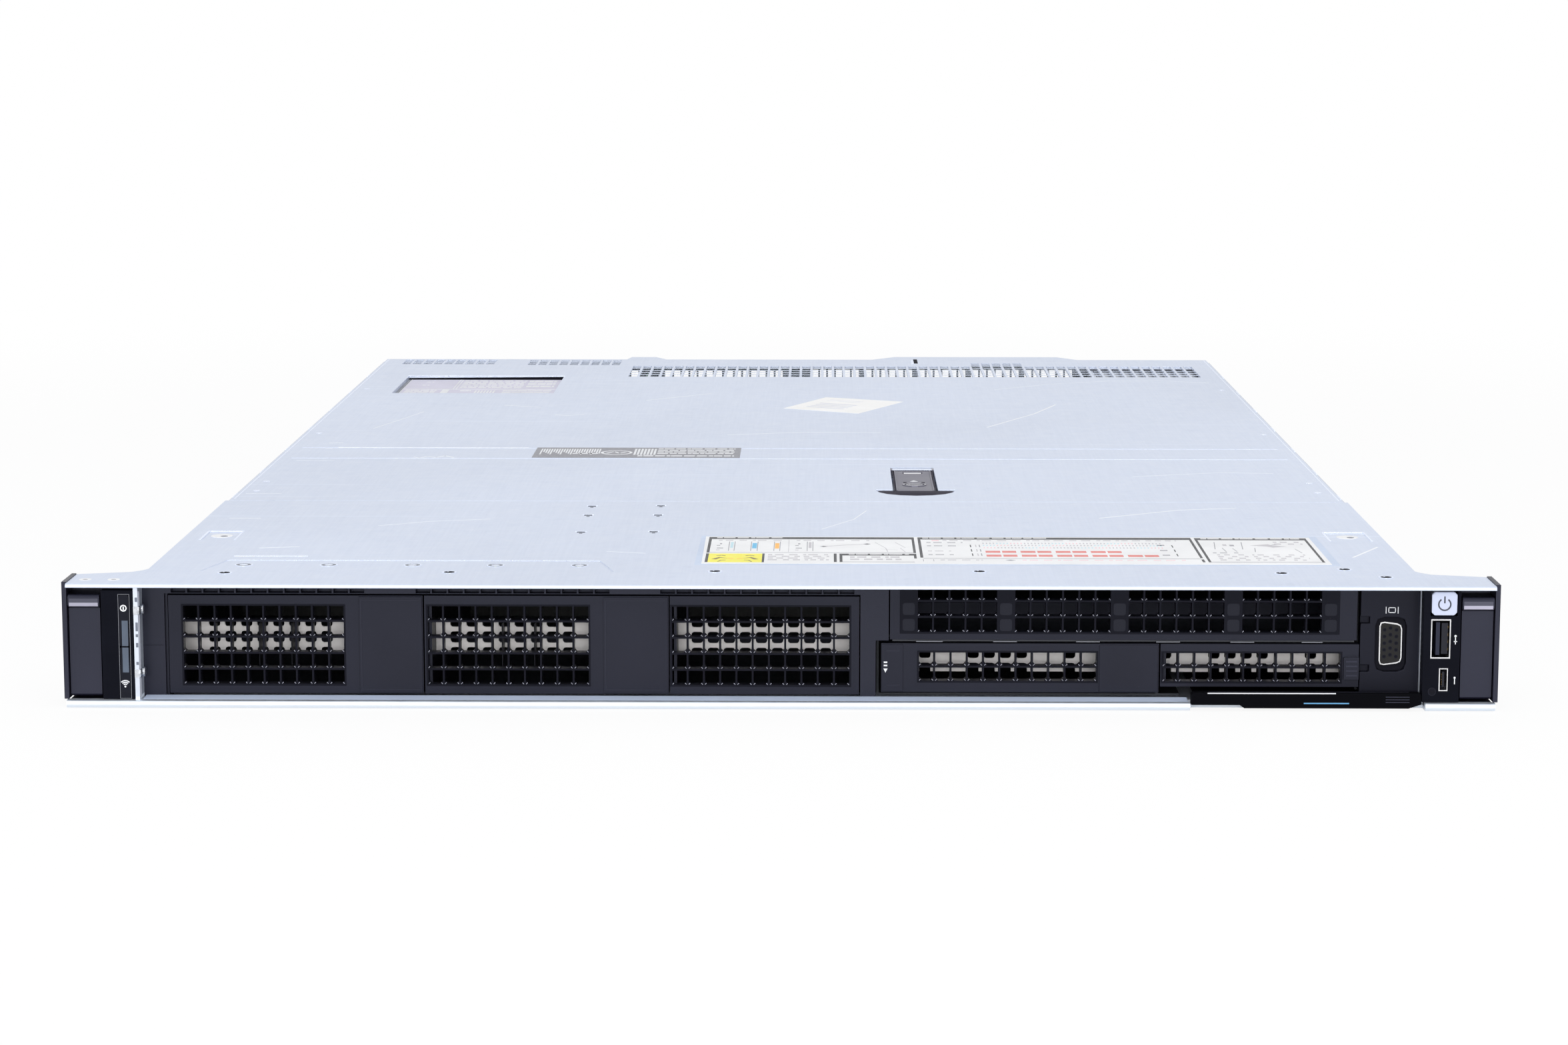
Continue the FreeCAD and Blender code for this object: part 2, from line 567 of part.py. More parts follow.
def drive_backplane():
    """Upright board behind the cage: air openings and a drive socket at each bay."""
    board = block(-208.0, 196.6, CAGE_D1, CAGE_D1 + 1.8, FLOOR_T, 38.0)
    cuts = []
    for x in (-190.0, -105.0, -30.0, 60.0, 140.0):
        cuts.append(block(x, x + 46.0, CAGE_D1 - 1, CAGE_D1 + 3, 24.0, 34.0))
    board = carve(board, cuts)
    sockets = [block(x, x + 34.0, CAGE_D1 - 9.0, CAGE_D1 + 0.5, 8.0, 14.0)
               for x in (-176.0, -92.0, -14.0, 70.0, 152.0)]
    return join([board] + sockets)


# ---- cover --------------------------------------------------------------------
def latch_pocket(grow):
    """Plan of the latch recess: a lever channel with a wide rounded thumb end."""
    half_l, half_t = LEVER_W / 2 + 1.4 + grow, THUMB_W / 2 + 0.6 + grow
    steps = 8
    arc = []
    for i in range(steps + 1):
        angle = math.pi * i / steps
        arc.append((LATCH_X - half_t * math.cos(angle), THUMB_D + 0.5 - (15.0 + grow) * math.sin(angle)))
    return arc + [(LATCH_X + half_t, THUMB_D + 2.0 + grow),
                  (LATCH_X + half_l, THUMB_D + 2.0 + grow),
                  (LATCH_X + half_l, TRAY_D1 + grow), (LATCH_X - half_l, TRAY_D1 + grow),
                  (LATCH_X - half_l, THUMB_D + 2.0 + grow),
                  (LATCH_X - half_t, THUMB_D + 2.0 + grow)]


WINDOW = (-195.0, -116.5, REAR_DEPTH - 151.0, REAR_DEPTH - 78.0)
COVER_OVER = 2.0        # cover's rear edge stands past the rear wall
WIDE_TAB_L, SMALL_TAB_L = 13.5, 11.5
WINDOW_FLOOR_Z = 40.9


def top_cover():
    """Removable cover: flat sheet, side skirts, latch recess, label window, vents."""
    d0 = SEAM_DEPTH + SEAM_GAP
    half = COVER_W / 2
    end = REAR_DEPTH + COVER_OVER
    plan = [(-half, d0), (half, d0), (half, end), (148.0, end), (138.0, end + WIDE_TAB_L),
            (52.0, end + WIDE_TAB_L), (40.0, end), (-68.0, end), (-74.0, end + SMALL_TAB_L),
            (-87.0, end + SMALL_TAB_L), (-89.0, end), (-half, end)]
    sheet = prism_up(plan, LID_Z, TOP_Z)
    skirts = [block(206.2, 207.2, 200.0, MID_D1, 36.0, LID_Z + 0.5),
              block(-207.2, -206.2, 200.0, MID_D1, 36.0, LID_Z + 0.5)]
    tray = prism_up(latch_pocket(1.0), TRAY_FLOOR_Z - 1.0, LID_Z + 0.5)
    wx0, wx1, wd0, wd1 = WINDOW
    pan = block(wx0 - 0.8, wx1 + 0.8, wd0 - 0.8, wd1 + 0.8, WINDOW_FLOOR_Z - 0.6, LID_Z + 0.2)
    whole = join([sheet, tray, pan] + skirts)
    cuts = [prism_up(latch_pocket(0.0), TRAY_FLOOR_Z, TOP_Z + 1),
            block(wx0, wx1, wd0, wd1, WINDOW_FLOOR_Z, TOP_Z + 1)]
    for band in (314.0, 347.0):
        cuts.append(block(-half + 6, half - 6, band - 0.5, band + 0.5, TOP_Z - 0.3, TOP_Z + 1))
    return carve(whole, cuts + cover_vents())


VENT_PITCH = 5.47
VENT_W = 4.2
LONG_VENT_AHEAD = 14.6


def vent_row(x0, columns, ahead0, ahead1, long_ones=()):
    """Row of slots in the cover, between two distances ahead of the rear wall."""
    slots = []
    for i in range(columns):
        x = x0 + i * VENT_PITCH
        d1 = REAR_DEPTH - (LONG_VENT_AHEAD if i in long_ones else ahead1)
        slots.append(block(x, x + VENT_W, REAR_DEPTH - ahead0, d1, LID_Z - 1, TOP_Z + 1))
    return slots


def cover_vents():
    """Vent field over the cards and two small groups behind the supplies."""
    return (vent_row(-84.0, 53, 78.4, 29.6, (32, 33, 34, 35, 36))
            + vent_row(-205.0, 9, 21.9, 0.6) + vent_row(-139.4, 9, 24.4, 2.6))


def latch_lever():
    """Lever with a hinge bar at its rear and a rounded thumb end in front."""
    half_l, half_t = LEVER_W / 2, THUMB_W / 2
    steps = 8
    arc = []
    for i in range(steps + 1):
        angle = math.pi * i / steps
        arc.append((LATCH_X - half_t * math.cos(angle), THUMB_D - 13.0 * math.sin(angle)))
    thumb = prism_up(arc, 41.0, 42.2)
    plate = block(LATCH_X - half_l, LATCH_X + half_l, THUMB_D - 0.5, HINGE_D, 40.4, 42.0)
    bar = facet_rod_across(LATCH_X - half_l - 1.0, LATCH_X + half_l + 1.0, HINGE_D, HINGE_Z,
                           HINGE_R, 12)
    whole = join([thumb, plate, bar])
    hole = prism_up(ring_of_points(LATCH_X, LOCK_D, LOCK_R + 0.4, 16), 39, 43)
    slot = block(LATCH_X - 4.0, LATCH_X + 4.0, HINGE_D - 11.5, HINGE_D - 7.0, 39, 43)
    return carve(whole, [hole, slot])


def latch_lock():
    """Quarter-turn lock in the lever, with a screwdriver slot."""
    disc = prism_up(ring_of_points(LATCH_X, LOCK_D, LOCK_R, 16), 40.0, 42.2)
    slot = block(LATCH_X - 2.6, LATCH_X + 2.6, LOCK_D - 0.5, LOCK_D + 0.5, 41.4, 43.0)
    return carve(disc, [slot])


# ---- fans -------------------------------------------------------------------
def fan_centres():
    return [(i - (FAN_COUNT - 1) / 2) * FAN_PITCH for i in range(FAN_COUNT)]


def fan_housings():
    """Square fan bodies with the round air way and the rear motor spider."""
    half = FAN_SIDE / 2
    bodies = []
    for cx in fan_centres():
        body = block(cx - half, cx + half, FAN_D0, FAN_D1, FLOOR_T, FAN_Z + half)
        bore = prism_back(ring_of_points(cx, FAN_Z, FAN_BORE_R, 10), FAN_D0 - 1, FAN_D1 + 1)
        body = carve(body, [bore])
        spider = [block(cx - half + 1, cx + half - 1, FAN_D1 - 3, FAN_D1, FAN_Z - 1.5, FAN_Z + 1.5),
                  block(cx - 6, cx + 6, FAN_D1 - 3, FAN_D1, FAN_Z - 6, FAN_Z + 6)]
        bodies.append(join([body] + spider))
    return Part.makeCompound(bodies)


def fan_rotor(cx):
    """Hub with five pitched blades."""
    d0, d1 = FAN_D0 + 3, FAN_D1 - 3.5
    hub = prism_back(ring_of_points(cx, FAN_Z, ROTOR_HUB_R, 8), d0, d1)
    middle = vec(cx, (d0 + d1) / 2, FAN_Z)
    blades = []
    for i in range(5):
        blade = Part.makeBox(1.2, 16.0, ROTOR_TIP_R - 6.0,
                             middle + FreeCAD.Vector(-0.6, -8.0, 6.0))
        blade.rotate(middle, FreeCAD.Vector(0, 0, 1), 38)
        blade.rotate(middle, FreeCAD.Vector(0, 1, 0), 72 * i)
        blades.append(blade)
    return join([hub] + blades)


# ---- boards, coolers, shroud --------------------------------------------------
def system_board():
    """Main board, narrow between the supplies, with the sockets that they plug into."""
    d0, d1, d2 = FAN_D1 + 28.0, PSU_D0 - 6.0, REAR_DEPTH - 6.0
    plan = [(-212.0, d0), (212.0, d0), (212.0, d1), (150.0, d1), (150.0, d2),
            (-150.0, d2), (-150.0, d1), (-212.0, d1)]
    sockets = [block(x0, x0 + 35.0, SOCKET_D0, SOCKET_D1, BOARD_Z0, 17.0) for x0 in (-200.0, 165.0)]
    return join([prism_up(plan, BOARD_Z0, BOARD_Z1)] + sockets)


HEATSINK_X = 96.0
HEATSINK_W = 78.0
HEATSINK_D0, HEATSINK_D1 = FAN_D1 + 52.0, MID_D1 - 13.0


def cpu_heatsink(cx):
    """Finned cooler standing on the processor."""
    half = HEATSINK_W / 2
    body = block(cx - half, cx + half, HEATSINK_D0, HEATSINK_D1, BOARD_Z1, 37.2)
    cuts = []
    gaps = 6
    pitch = HEATSINK_W / gaps
    for i in range(gaps):
        x0 = cx - half + i * pitch + 0.8
        cuts.append(block(x0, x0 + pitch - 1.6, HEATSINK_D0 - 1, HEATSINK_D1 + 1, 14.0, 38.0))
    return carve(body, cuts)


def memory_modules():
    """Upright memory modules beside each processor."""
    modules = []
    for centre in (-176.0, -28.0, 28.0, 176.0):
        for i in range(4):
            x = centre + (i - 1.5) * 9.0
            modules.append(block(x - 1.6, x + 1.6, FAN_D1 + 32.0, MID_D1, BOARD_Z1, 37.6))
    return Part.makeCompound(modules)


def air_shroud():
    """Moulded duct that leads the air from the fans over the coolers."""
    d1 = MID_D1 + 12.0
    top = block(-204.0, 204.0, FAN_D1 + 24.0, d1, 38.4, 39.6)
    sides = [block(-204.0, -202.8, FAN_D1 + 32.0, d1 - 3.0, BOARD_Z1, 38.6),
             block(202.8, 204.0, FAN_D1 + 32.0, d1 - 3.0, BOARD_Z1, 38.6)]
    return join([top] + sides)


# ---- rear -------------------------------------------------------------------
def pcie_riser():
    """Upright riser board with a card slot on each face."""
    board = block(-76.8, -75.2, REAR_DEPTH - 140.0, REAR_DEPTH - 32.0, BOARD_Z1, 39.0)
    d0, d1 = REAR_DEPTH - 130.0, REAR_DEPTH - 42.0
    slots = [block(-84.0, -76.5, d0, d1, 24.0, 32.0),
             block(-75.5, -68.0, d0, d1, 24.0, 32.0)]
    return join([board] + slots)


def slot_covers():
    """Vented metal covers over the two card openings in the rear wall."""
    covers = []
    for x0, x1 in SLOT_COVER_SPANS:
        plate = block(x0 - 1.2, x1 + 1.2, REAR_DEPTH, REAR_DEPTH + 0.9, SLOT_Z0 - 1.2, SLOT_Z1 + 1.2)
        vents = [block(x0 + 3 + i * 32.0, x0 + 33 + i * 32.0, REAR_DEPTH - 1, REAR_DEPTH + 2,
                       SLOT_Z0 + 2, SLOT_Z1 - 2) for i in range(2)]
        covers.append(carve(plate, vents))
    return Part.makeCompound(covers)


def ocp_cover():
    """Filler over the network-card opening, with its pull tab."""
    plate = block(OCP_X0 - 1.2, OCP_X1 + 1.2, REAR_DEPTH, REAR_DEPTH + 0.9, OCP_Z0 - 1.2, OCP_Z1 + 1.2)
    tab = block(OCP_X1 - 12, OCP_X1 - 2, REAR_DEPTH + 0.5, REAR_DEPTH + 6.0, 10.5, 12.0)
    return join([plate, tab])


def rear_network_ports():
    """Two network sockets on the board."""
    ports = []
    for x0 in NET_PORT_X:
        body = block(x0, x0 + NET_W, REAR_DEPTH - 22.0, REAR_DEPTH + 0.6, BOARD_Z1, BOARD_Z1 + NET_H)
        mouth = prism_back([(x0 + 2, BOARD_Z1 + 3.2), (x0 + 5, BOARD_Z1 + 3.2), (x0 + 5, BOARD_Z1 + 1.6),
                            (x0 + NET_W - 5, BOARD_Z1 + 1.6), (x0 + NET_W - 5, BOARD_Z1 + 3.2),
                            (x0 + NET_W - 2, BOARD_Z1 + 3.2), (x0 + NET_W - 2, BOARD_Z1 + 11.0),
                            (x0 + 2, BOARD_Z1 + 11.0)], REAR_DEPTH - 14.0, REAR_DEPTH + 2)
        ports.append(carve(body, [mouth]))
    return Part.makeCompound(ports)


def rear_usb_ports():
    """Stacked pair of sockets in one metal shell."""
    x0, x1 = USB_REAR_X0, USB_REAR_X0 + USB_REAR_W
    body = block(x0, x1, REAR_DEPTH - 18.0, REAR_DEPTH + 0.6, BOARD_Z1, BOARD_Z1 + USB_REAR_H)
    mouths, tongues = [], []
    for z0 in (BOARD_Z1 + 1.2, BOARD_Z1 + 8.0):
        mouths.append(block(x0 + 0.7, x1 - 0.7, REAR_DEPTH - 12.0, REAR_DEPTH + 2, z0, z0 + 5.0))
        tongues.append(block(x0 + 1.8, x1 - 1.8, REAR_DEPTH - 12.5, REAR_DEPTH - 0.8, z0 + 2.9, z0 + 4.3))
    return join([carve(body, mouths)] + tongues)


def rear_vga_connector():
    """Display socket: flange block and D-shaped shell."""
    x0, x1 = VGA_REAR_X0, VGA_REAR_X0 + VGA_REAR_W
    body = block(x0, x1, REAR_DEPTH - 16.0, REAR_DEPTH, BOARD_Z1, BOARD_Z1 + VGA_REAR_H)
    cx, cz = (x0 + x1) / 2, BOARD_Z1 + VGA_REAR_H / 2
    outer = [(cx - 7.4, cz - 3.9), (cx + 7.4, cz - 3.9), (cx + 8.4, cz + 3.9), (cx - 8.4, cz + 3.9)]
    inner = [(cx - 6.9, cz - 3.4), (cx + 6.9, cz - 3.4), (cx + 7.9, cz + 3.4), (cx - 7.9, cz + 3.4)]
    shell = prism_back(outer, REAR_DEPTH - 1, REAR_DEPTH + 5.5)
    recess = prism_back(inner, REAR_DEPTH + 1, REAR_DEPTH + 6)
    return join([body, carve(shell, [recess])])


def rear_id_button():
    half = REAR_BUTTON_SIDE / 2
    return block(REAR_BUTTON_X - half, REAR_BUTTON_X + half, REAR_DEPTH - 6.0, REAR_DEPTH + 1.6,
                 REAR_BUTTON_Z - half, REAR_BUTTON_Z + half)


INLET_W, INLET_H = 27.0, 20.0


def power_supply():
    """Right-hand supply: case, mains inlet recess, fan grille and loop handle."""
    x0, x1 = PSU_X0, PSU_X0 + PSU_W
    case = block(x0, x1, PSU_D0, PSU_D1, PSU_Z0, PSU_Z1)
    inlet_x, inlet_z = x0 + 3.5, 10.0
    recess = prism_back([(inlet_x, inlet_z), (inlet_x + INLET_W, inlet_z),
                         (inlet_x + INLET_W, inlet_z + 14), (inlet_x + INLET_W - 6, inlet_z + INLET_H),
                         (inlet_x + 6, inlet_z + INLET_H), (inlet_x, inlet_z + 14)],
                        PSU_D1 - 18, PSU_D1 + 1)
    blades = [block(inlet_x + bx - 1, inlet_x + bx + 1, PSU_D1 - 18.5, PSU_D1 - 5,
                    inlet_z + bz, inlet_z + bz + 4)
              for bx, bz in ((6.5, 5.5), (13.5, 9.5), (20.5, 5.5))]
    grille = [block(x0 + 39.5, x0 + 57.5, PSU_D1 - 4, PSU_D1 + 1, z, z + 3.4)
              for z in (8, 14, 20, 26, 32)]
    case = join([carve(case, [recess] + grille)] + blades)
    handle_x = x0 + 33.0
    loop = block(handle_x, handle_x + 4.5, PSU_D1 - 1, TAIL_DEPTH, 8.0, 35.0)
    hand = block(handle_x - 1, handle_x + 6, PSU_D1, TAIL_DEPTH - 4.5, 12.0, 31.0)
    loop = carve(loop, [hand])
    corners = [e for e in upright_edges(loop, FreeCAD.Vector(1, 0, 0))
               if e.CenterOfMass.y > FRONT_Y + TAIL_DEPTH - 0.1]
    loop = loop.makeChamfer(2.0, corners)
    return join([case, loop])


PSU_LATCH_X = PSU_X0 + 44.0
PSU_LATCH_D = PSU_D1 + 2.0


def psu_latch():
    """Right-hand supply's release lever: upright tab on a thin stem."""
    stem = block(PSU_LATCH_X - 1.2, PSU_LATCH_X + 1.2, PSU_D1 + RUN_GAP, PSU_D1 + 20.0, 14.0, 29.0)
    pad = block(PSU_LATCH_X - 1.2, PSU_LATCH_X + 3.6, PSU_D1 + 17.0, PSU_D1 + 20.0, 14.0, 29.0)
    return join([stem, pad])


def rail_studs():
    """Shouldered studs on both sides that hang the server in its rails."""
    studs = []
    for depth in STUD_DEPTHS:
        shank = facet_rod_across(HALF_W, HALF_W + STUD_SHANK_L + 0.1, depth, STUD_Z,
                                 STUD_SHANK_R, 10)
        head = rod_across(HALF_W + STUD_SHANK_L, HALF_W + STUD_SHANK_L + STUD_HEAD_L, depth,
                          STUD_Z, STUD_HEAD_R)
        stud = join([shank, head])
        studs += [stud, mirrored(stud)]
    return Part.makeCompound(studs)


# ---- write every piece ----------------------------------------------------------
os.makedirs("parts", exist_ok=True)

save("chassis_base", chassis_base())
save("rear_wall", rear_wall())
save("front_top_panel", front_top_panel())
save("rack_ear_right", rack_ear(41.0, True))
save("rack_ear_left", mirrored(rack_ear(40.2, False)))
save("slam_latch_right", slam_latch())
save("slam_latch_left", mirrored(slam_latch()))
save("left_control_panel", left_control_panel())
save("right_control_panel", right_control_panel())
save("id_button", strip_button(STRIP_SPLIT + 0.15, STRIP_Z1))
save("wireless_button", strip_button(STRIP_Z0, STRIP_SPLIT - 0.15))
save("power_button", power_button())
save("usb_a_port", usb_a_port())
save("micro_usb_port", micro_usb_port())
save("ear_rivets", ear_rivets())
save("bay_frame", bay_frame())
for index in range(3):
    save("drive_blank_%d" % (index + 1), big_blank(index))
    save("blank_screen_%d" % (index + 1), big_screen(index))
save("drive_blank_4", small_blank(0))
save("drive_blank_5", join([small_blank(1), release_clip()]))
for index in range(2):
    save("blank_screen_%d" % (index + 4), small_screen(index))
save("wide_upper_filler", wide_upper_filler())
save("vga_panel", vga_panel())
save("front_vga_connector", front_vga_connector())
save("info_tag", info_tag())
save("drive_cage", drive_cage())
save("drive_backplane", drive_backplane())
save("top_cover", top_cover())
save("latch_lever", latch_lever())
save("latch_lock", latch_lock())
save("fan_housings", fan_housings())
for index, centre in enumerate(fan_centres()):
    save("fan_rotor_%d" % (index + 1), fan_rotor(centre))
save("system_board", system_board())
save("cpu_heatsink_1", cpu_heatsink(-HEATSINK_X))
save("cpu_heatsink_2", cpu_heatsink(HEATSINK_X))
save("memory_modules", memory_modules())
save("air_shroud", air_shroud())
save("pcie_riser", pcie_riser())
save("slot_covers", slot_covers())
save("ocp_cover", ocp_cover())
save("rear_network_ports", rear_network_ports())
save("rear_usb_ports", rear_usb_ports())
save("rear_vga_connector", rear_vga_connector())
save("rear_id_button", rear_id_button())
save("power_supply_2", power_supply())
save("power_supply_1", mirrored(power_supply()))
save("psu_latch_2", psu_latch())
save("psu_latch_1", mirrored(psu_latch()))
save("rail_studs", rail_studs())
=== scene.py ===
import json
import math
from typing import NamedTuple

import bmesh
import bpy
from bpy.props import FloatProperty, FloatVectorProperty, IntProperty, PointerProperty
from bpy.types import Operator, Panel, PropertyGroup
from mathutils import Matrix, Vector


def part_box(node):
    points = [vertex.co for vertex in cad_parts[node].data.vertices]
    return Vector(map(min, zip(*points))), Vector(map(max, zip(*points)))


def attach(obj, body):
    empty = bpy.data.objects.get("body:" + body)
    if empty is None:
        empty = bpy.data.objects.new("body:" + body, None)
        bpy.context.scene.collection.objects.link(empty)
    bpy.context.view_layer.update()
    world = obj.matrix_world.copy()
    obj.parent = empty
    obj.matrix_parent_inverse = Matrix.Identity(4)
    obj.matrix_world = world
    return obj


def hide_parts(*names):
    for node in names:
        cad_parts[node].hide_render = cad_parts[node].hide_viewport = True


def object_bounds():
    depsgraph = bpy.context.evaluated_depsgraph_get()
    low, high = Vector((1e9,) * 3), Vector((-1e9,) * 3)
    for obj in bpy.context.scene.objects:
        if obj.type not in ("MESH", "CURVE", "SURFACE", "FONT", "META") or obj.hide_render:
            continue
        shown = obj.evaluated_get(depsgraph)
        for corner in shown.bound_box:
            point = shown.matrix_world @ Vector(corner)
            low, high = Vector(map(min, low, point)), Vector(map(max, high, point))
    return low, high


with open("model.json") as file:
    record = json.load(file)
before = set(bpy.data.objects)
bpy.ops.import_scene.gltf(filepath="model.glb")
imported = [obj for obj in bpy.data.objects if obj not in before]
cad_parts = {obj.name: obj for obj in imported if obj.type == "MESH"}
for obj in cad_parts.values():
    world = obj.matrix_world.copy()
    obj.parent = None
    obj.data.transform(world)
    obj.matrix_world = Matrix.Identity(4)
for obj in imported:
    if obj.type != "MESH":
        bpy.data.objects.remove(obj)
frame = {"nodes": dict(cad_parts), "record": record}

bl_info = {
    "name": "1U rack server",
    "version": (1, 0, 0),
    "blender": (4, 5, 0),
    "location": "View3D > Sidebar > Rack server",
    "description": "Finishes, small fittings, labels and stage for a 1U server with drive blanks",
    "category": "Object",
}

CAD_BOX = [[float(v) for v in corner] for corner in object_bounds()]
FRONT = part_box("chassis_base")[0][1]
# Depths of the bay's face and of the slot covers behind the front lip, in millimetres.
BAY_FACE = (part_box("bay_frame")[0][1] - FRONT) * 1000
REAR = (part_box("slot_covers")[0][1] - FRONT) * 1000
# Half width of the chassis, and how far a mark reaches down into its sheet, in millimetres.
SIDE = 217.0
SINK = 0.1
WHITE = (1.0, 1.0, 1.0)
BLACK = (0.0, 0.0, 0.0)


def linear(red, green, blue):
    """A screen colour, 0 to 255, as the linear colour that shaders use."""
    values = []
    for part in (red, green, blue):
        part = part / 255.0
        values.append(part / 12.92 if part <= 0.04045 else ((part + 0.055) / 1.055) ** 2.4)
    return tuple(values)


class Box(NamedTuple):
    """Extent of a CAD node in millimetres: across, behind the front lip, and up."""
    x0: float
    x1: float
    d0: float
    d1: float
    z0: float
    z1: float

    @property
    def cx(self):
        return (self.x0 + self.x1) / 2

    @property
    def cd(self):
        return (self.d0 + self.d1) / 2

    @property
    def cz(self):
        return (self.z0 + self.z1) / 2


def box_mm(node):
    low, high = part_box(node)
    return Box(low[0] * 1000, high[0] * 1000, (low[1] - FRONT) * 1000,
               (high[1] - FRONT) * 1000, low[2] * 1000, high[2] * 1000)


def place(x, depth, z):
    """Point from a position across, a depth behind the front lip and a height, in millimetres."""
    return Vector((x / 1000.0, FRONT + depth / 1000.0, z / 1000.0))


def body_of_node(node):
    """Name of the body that a node belongs to."""
    for body, nodes in frame["record"]["behaviour"]["bodies"].items():
        if node in nodes:
            return body
    raise RuntimeError("no body holds " + node)


def numbered(name, count):
    return ["%s_%d" % (name, number) for number in range(1, count + 1)]


# ---- settings ---------------------------------------------------------------
def colour(name, description, default):
    return FloatVectorProperty(name=name, description=description, default=default, min=0.0,
                               max=1.0, size=3, subtype="COLOR")


def length(name, description, default):
    return FloatProperty(name=name, description=description, default=default, min=0.0,
                         subtype="DISTANCE", unit="LENGTH")


def power(name, description, default):
    return FloatProperty(name=name, description=description, default=default, min=0.0,
                         subtype="POWER", unit="POWER")


class RackServerColours(PropertyGroup):
    """Colours of the finishes."""
    sheet: colour("Plated sheet", "Zinc-plated sheet of the cover and front panel",
                  linear(208, 217, 235))
    chassis: colour("Chassis sheet", "Zinc-plated sheet of the chassis", linear(205, 211, 222))
    ear: colour("Ear plastic", "Black plastic of the rack ears and their caps",
                (0.0092, 0.009, 0.0176))
    bay: colour("Bay plastic", "Dark plastic of the blanks and their frame", (0.009, 0.009, 0.0155))
    screen: colour("Screens", "Bright screens behind the grilles", linear(246, 242, 240))
    paper: colour("Label paper", "White label stock", linear(240, 241, 243))
    ink: colour("Label ink", "Dark print on the labels", linear(52, 54, 60))
    dark_label: colour("Dark labels", "Grey label stock of the cover", linear(126, 127, 137))
    key: colour("Power button", "Cap of the power button", linear(196, 203, 224))
    board: colour("Circuit boards", "Solder mask", linear(28, 74, 50))
    release: colour("Release tabs", "Release tabs of the supplies", linear(206, 92, 34))


class RackServerSizes(PropertyGroup):
    """Sizes of the small work."""
    sheet_edge: length("Sheet edges", "Width of the soft edge on sheet metal", 0.00022)
    plastic_edge: length("Plastic edges", "Width of the soft edge on moulded parts", 0.0003)
    rib_edge: length("Grille edges", "Width of the soft edge on grille ribs", 0.0001)
    label: length("Label thickness", "Thickness of the label stock", 0.00008)
    print_height: length("Print thickness", "How far print stands on its label", 0.00002)
    vent_rows: IntProperty(name="Vent rows", description="Rows of holes in the main vent field",
                           default=5, min=1, max=20)
    vent_bar: length("Vent bars", "Width of the bars between the vent rows", 0.0013)


class RackServerStage(PropertyGroup):
    """Camera, lamps and floor."""
    lens: FloatProperty(name="Lens", description="Focal length of the camera, in millimetres",
                        default=82.8, min=10.0, max=300.0)
    key_power: power("Key lamp", "Power of the large lamp above the front", 8.2)
    front_power: power("Front lamp", "Power of the low lamp in front", 10.0)
    left_power: power("Left lamp", "Power of the lamp at the left", 4.2)
    right_power: power("Right lamp", "Power of the lamp at the right", 3.9)
    sky: FloatProperty(name="Sky", description="Strength of the even light from all round",
                       default=0.72, min=0.0)
    floor: colour("Floor", "Floor under the server", (0.93, 0.93, 0.93))


# ---- shader building ----------------------------------------------------------
def blank_material(name):
    """New material with one Principled shader, and its node tree."""
    material = bpy.data.materials.new(name)
    material.use_nodes = True
    tree = material.node_tree
    tree.nodes.clear()
    out = tree.nodes.new("ShaderNodeOutputMaterial")
    shader = tree.nodes.new("ShaderNodeBsdfPrincipled")
    tree.links.new(shader.outputs["BSDF"], out.inputs["Surface"])
    return material, tree, shader


def stretched_noise(tree, scale, detail=3.0, turn=0.0, roughness=0.5):
    """Noise over the object's own space; scale is per metre along each axis."""
    coords = tree.nodes.new("ShaderNodeTexCoord")
    mapping = tree.nodes.new("ShaderNodeMapping")
    mapping.inputs["Scale"].default_value = scale
    mapping.inputs["Rotation"].default_value = (0.0, 0.0, turn)
    noise = tree.nodes.new("ShaderNodeTexNoise")
    noise.inputs["Scale"].default_value = 1.0
    noise.inputs["Detail"].default_value = detail
    noise.inputs["Roughness"].default_value = roughness
    tree.links.new(coords.outputs["Object"], mapping.inputs["Vector"])
    tree.links.new(mapping.outputs["Vector"], noise.inputs["Vector"])
    return noise.outputs["Fac"]


def ramp(tree, value, stops):
    """Colour ramp; stops are (position, linear colour)."""
    node = tree.nodes.new("ShaderNodeValToRGB")
    band = node.color_ramp
    while len(band.elements) < len(stops):
        band.elements.new(0.5)
    for element, (position, shade) in zip(band.elements, stops):
        element.position = position
        element.color = (*shade, 1.0)
    tree.links.new(value, node.inputs["Fac"])
    return node.outputs["Color"]


def scaled(shade, factor):
    return tuple(min(1.0, part * factor) for part in shade)


def clouded(tree, value, shade, low, high):
    """Shade that drifts between two strengths of itself."""
    return ramp(tree, value, ((0.3, scaled(shade, low)), (0.7, scaled(shade, high))))


def blend_colours(tree, amount, first, second, mode="MIX"):
    """Mix of two colour sockets or colours."""
    node = tree.nodes.new("ShaderNodeMix")
    node.data_type = "RGBA"
    node.blend_type = mode
    for value, socket in ((amount, node.inputs[0]), (first, node.inputs[6]),
                          (second, node.inputs[7])):
        if isinstance(value, bpy.types.NodeSocket):
            tree.links.new(value, socket)
        elif isinstance(value, float):
            socket.default_value = value
        else:
            socket.default_value = (*value, 1.0)
    return node.outputs[2]


def remap(tree, value, low, high, start=0.3, end=0.7):
    """Value spread over a new range."""
    node = tree.nodes.new("ShaderNodeMapRange")
    for name, limit in (("From Min", start), ("From Max", end), ("To Min", low), ("To Max", high)):
        node.inputs[name].default_value = limit
    tree.links.new(value, node.inputs["Value"])
    return node.outputs["Result"]


def combined(tree, operation, first, second):
    """Result of an operation on two values."""
    node = tree.nodes.new("ShaderNodeMath")
    node.operation = operation
    tree.links.new(first, node.inputs[0])
    tree.links.new(second, node.inputs[1])
    return node.outputs[0]


def surface(tree, shader, base, value, rough):
    """Links the colour, and a value spread over the range of roughness."""
    tree.links.new(base, shader.inputs["Base Color"])
    tree.links.new(remap(tree, value, *rough), shader.inputs["Roughness"])


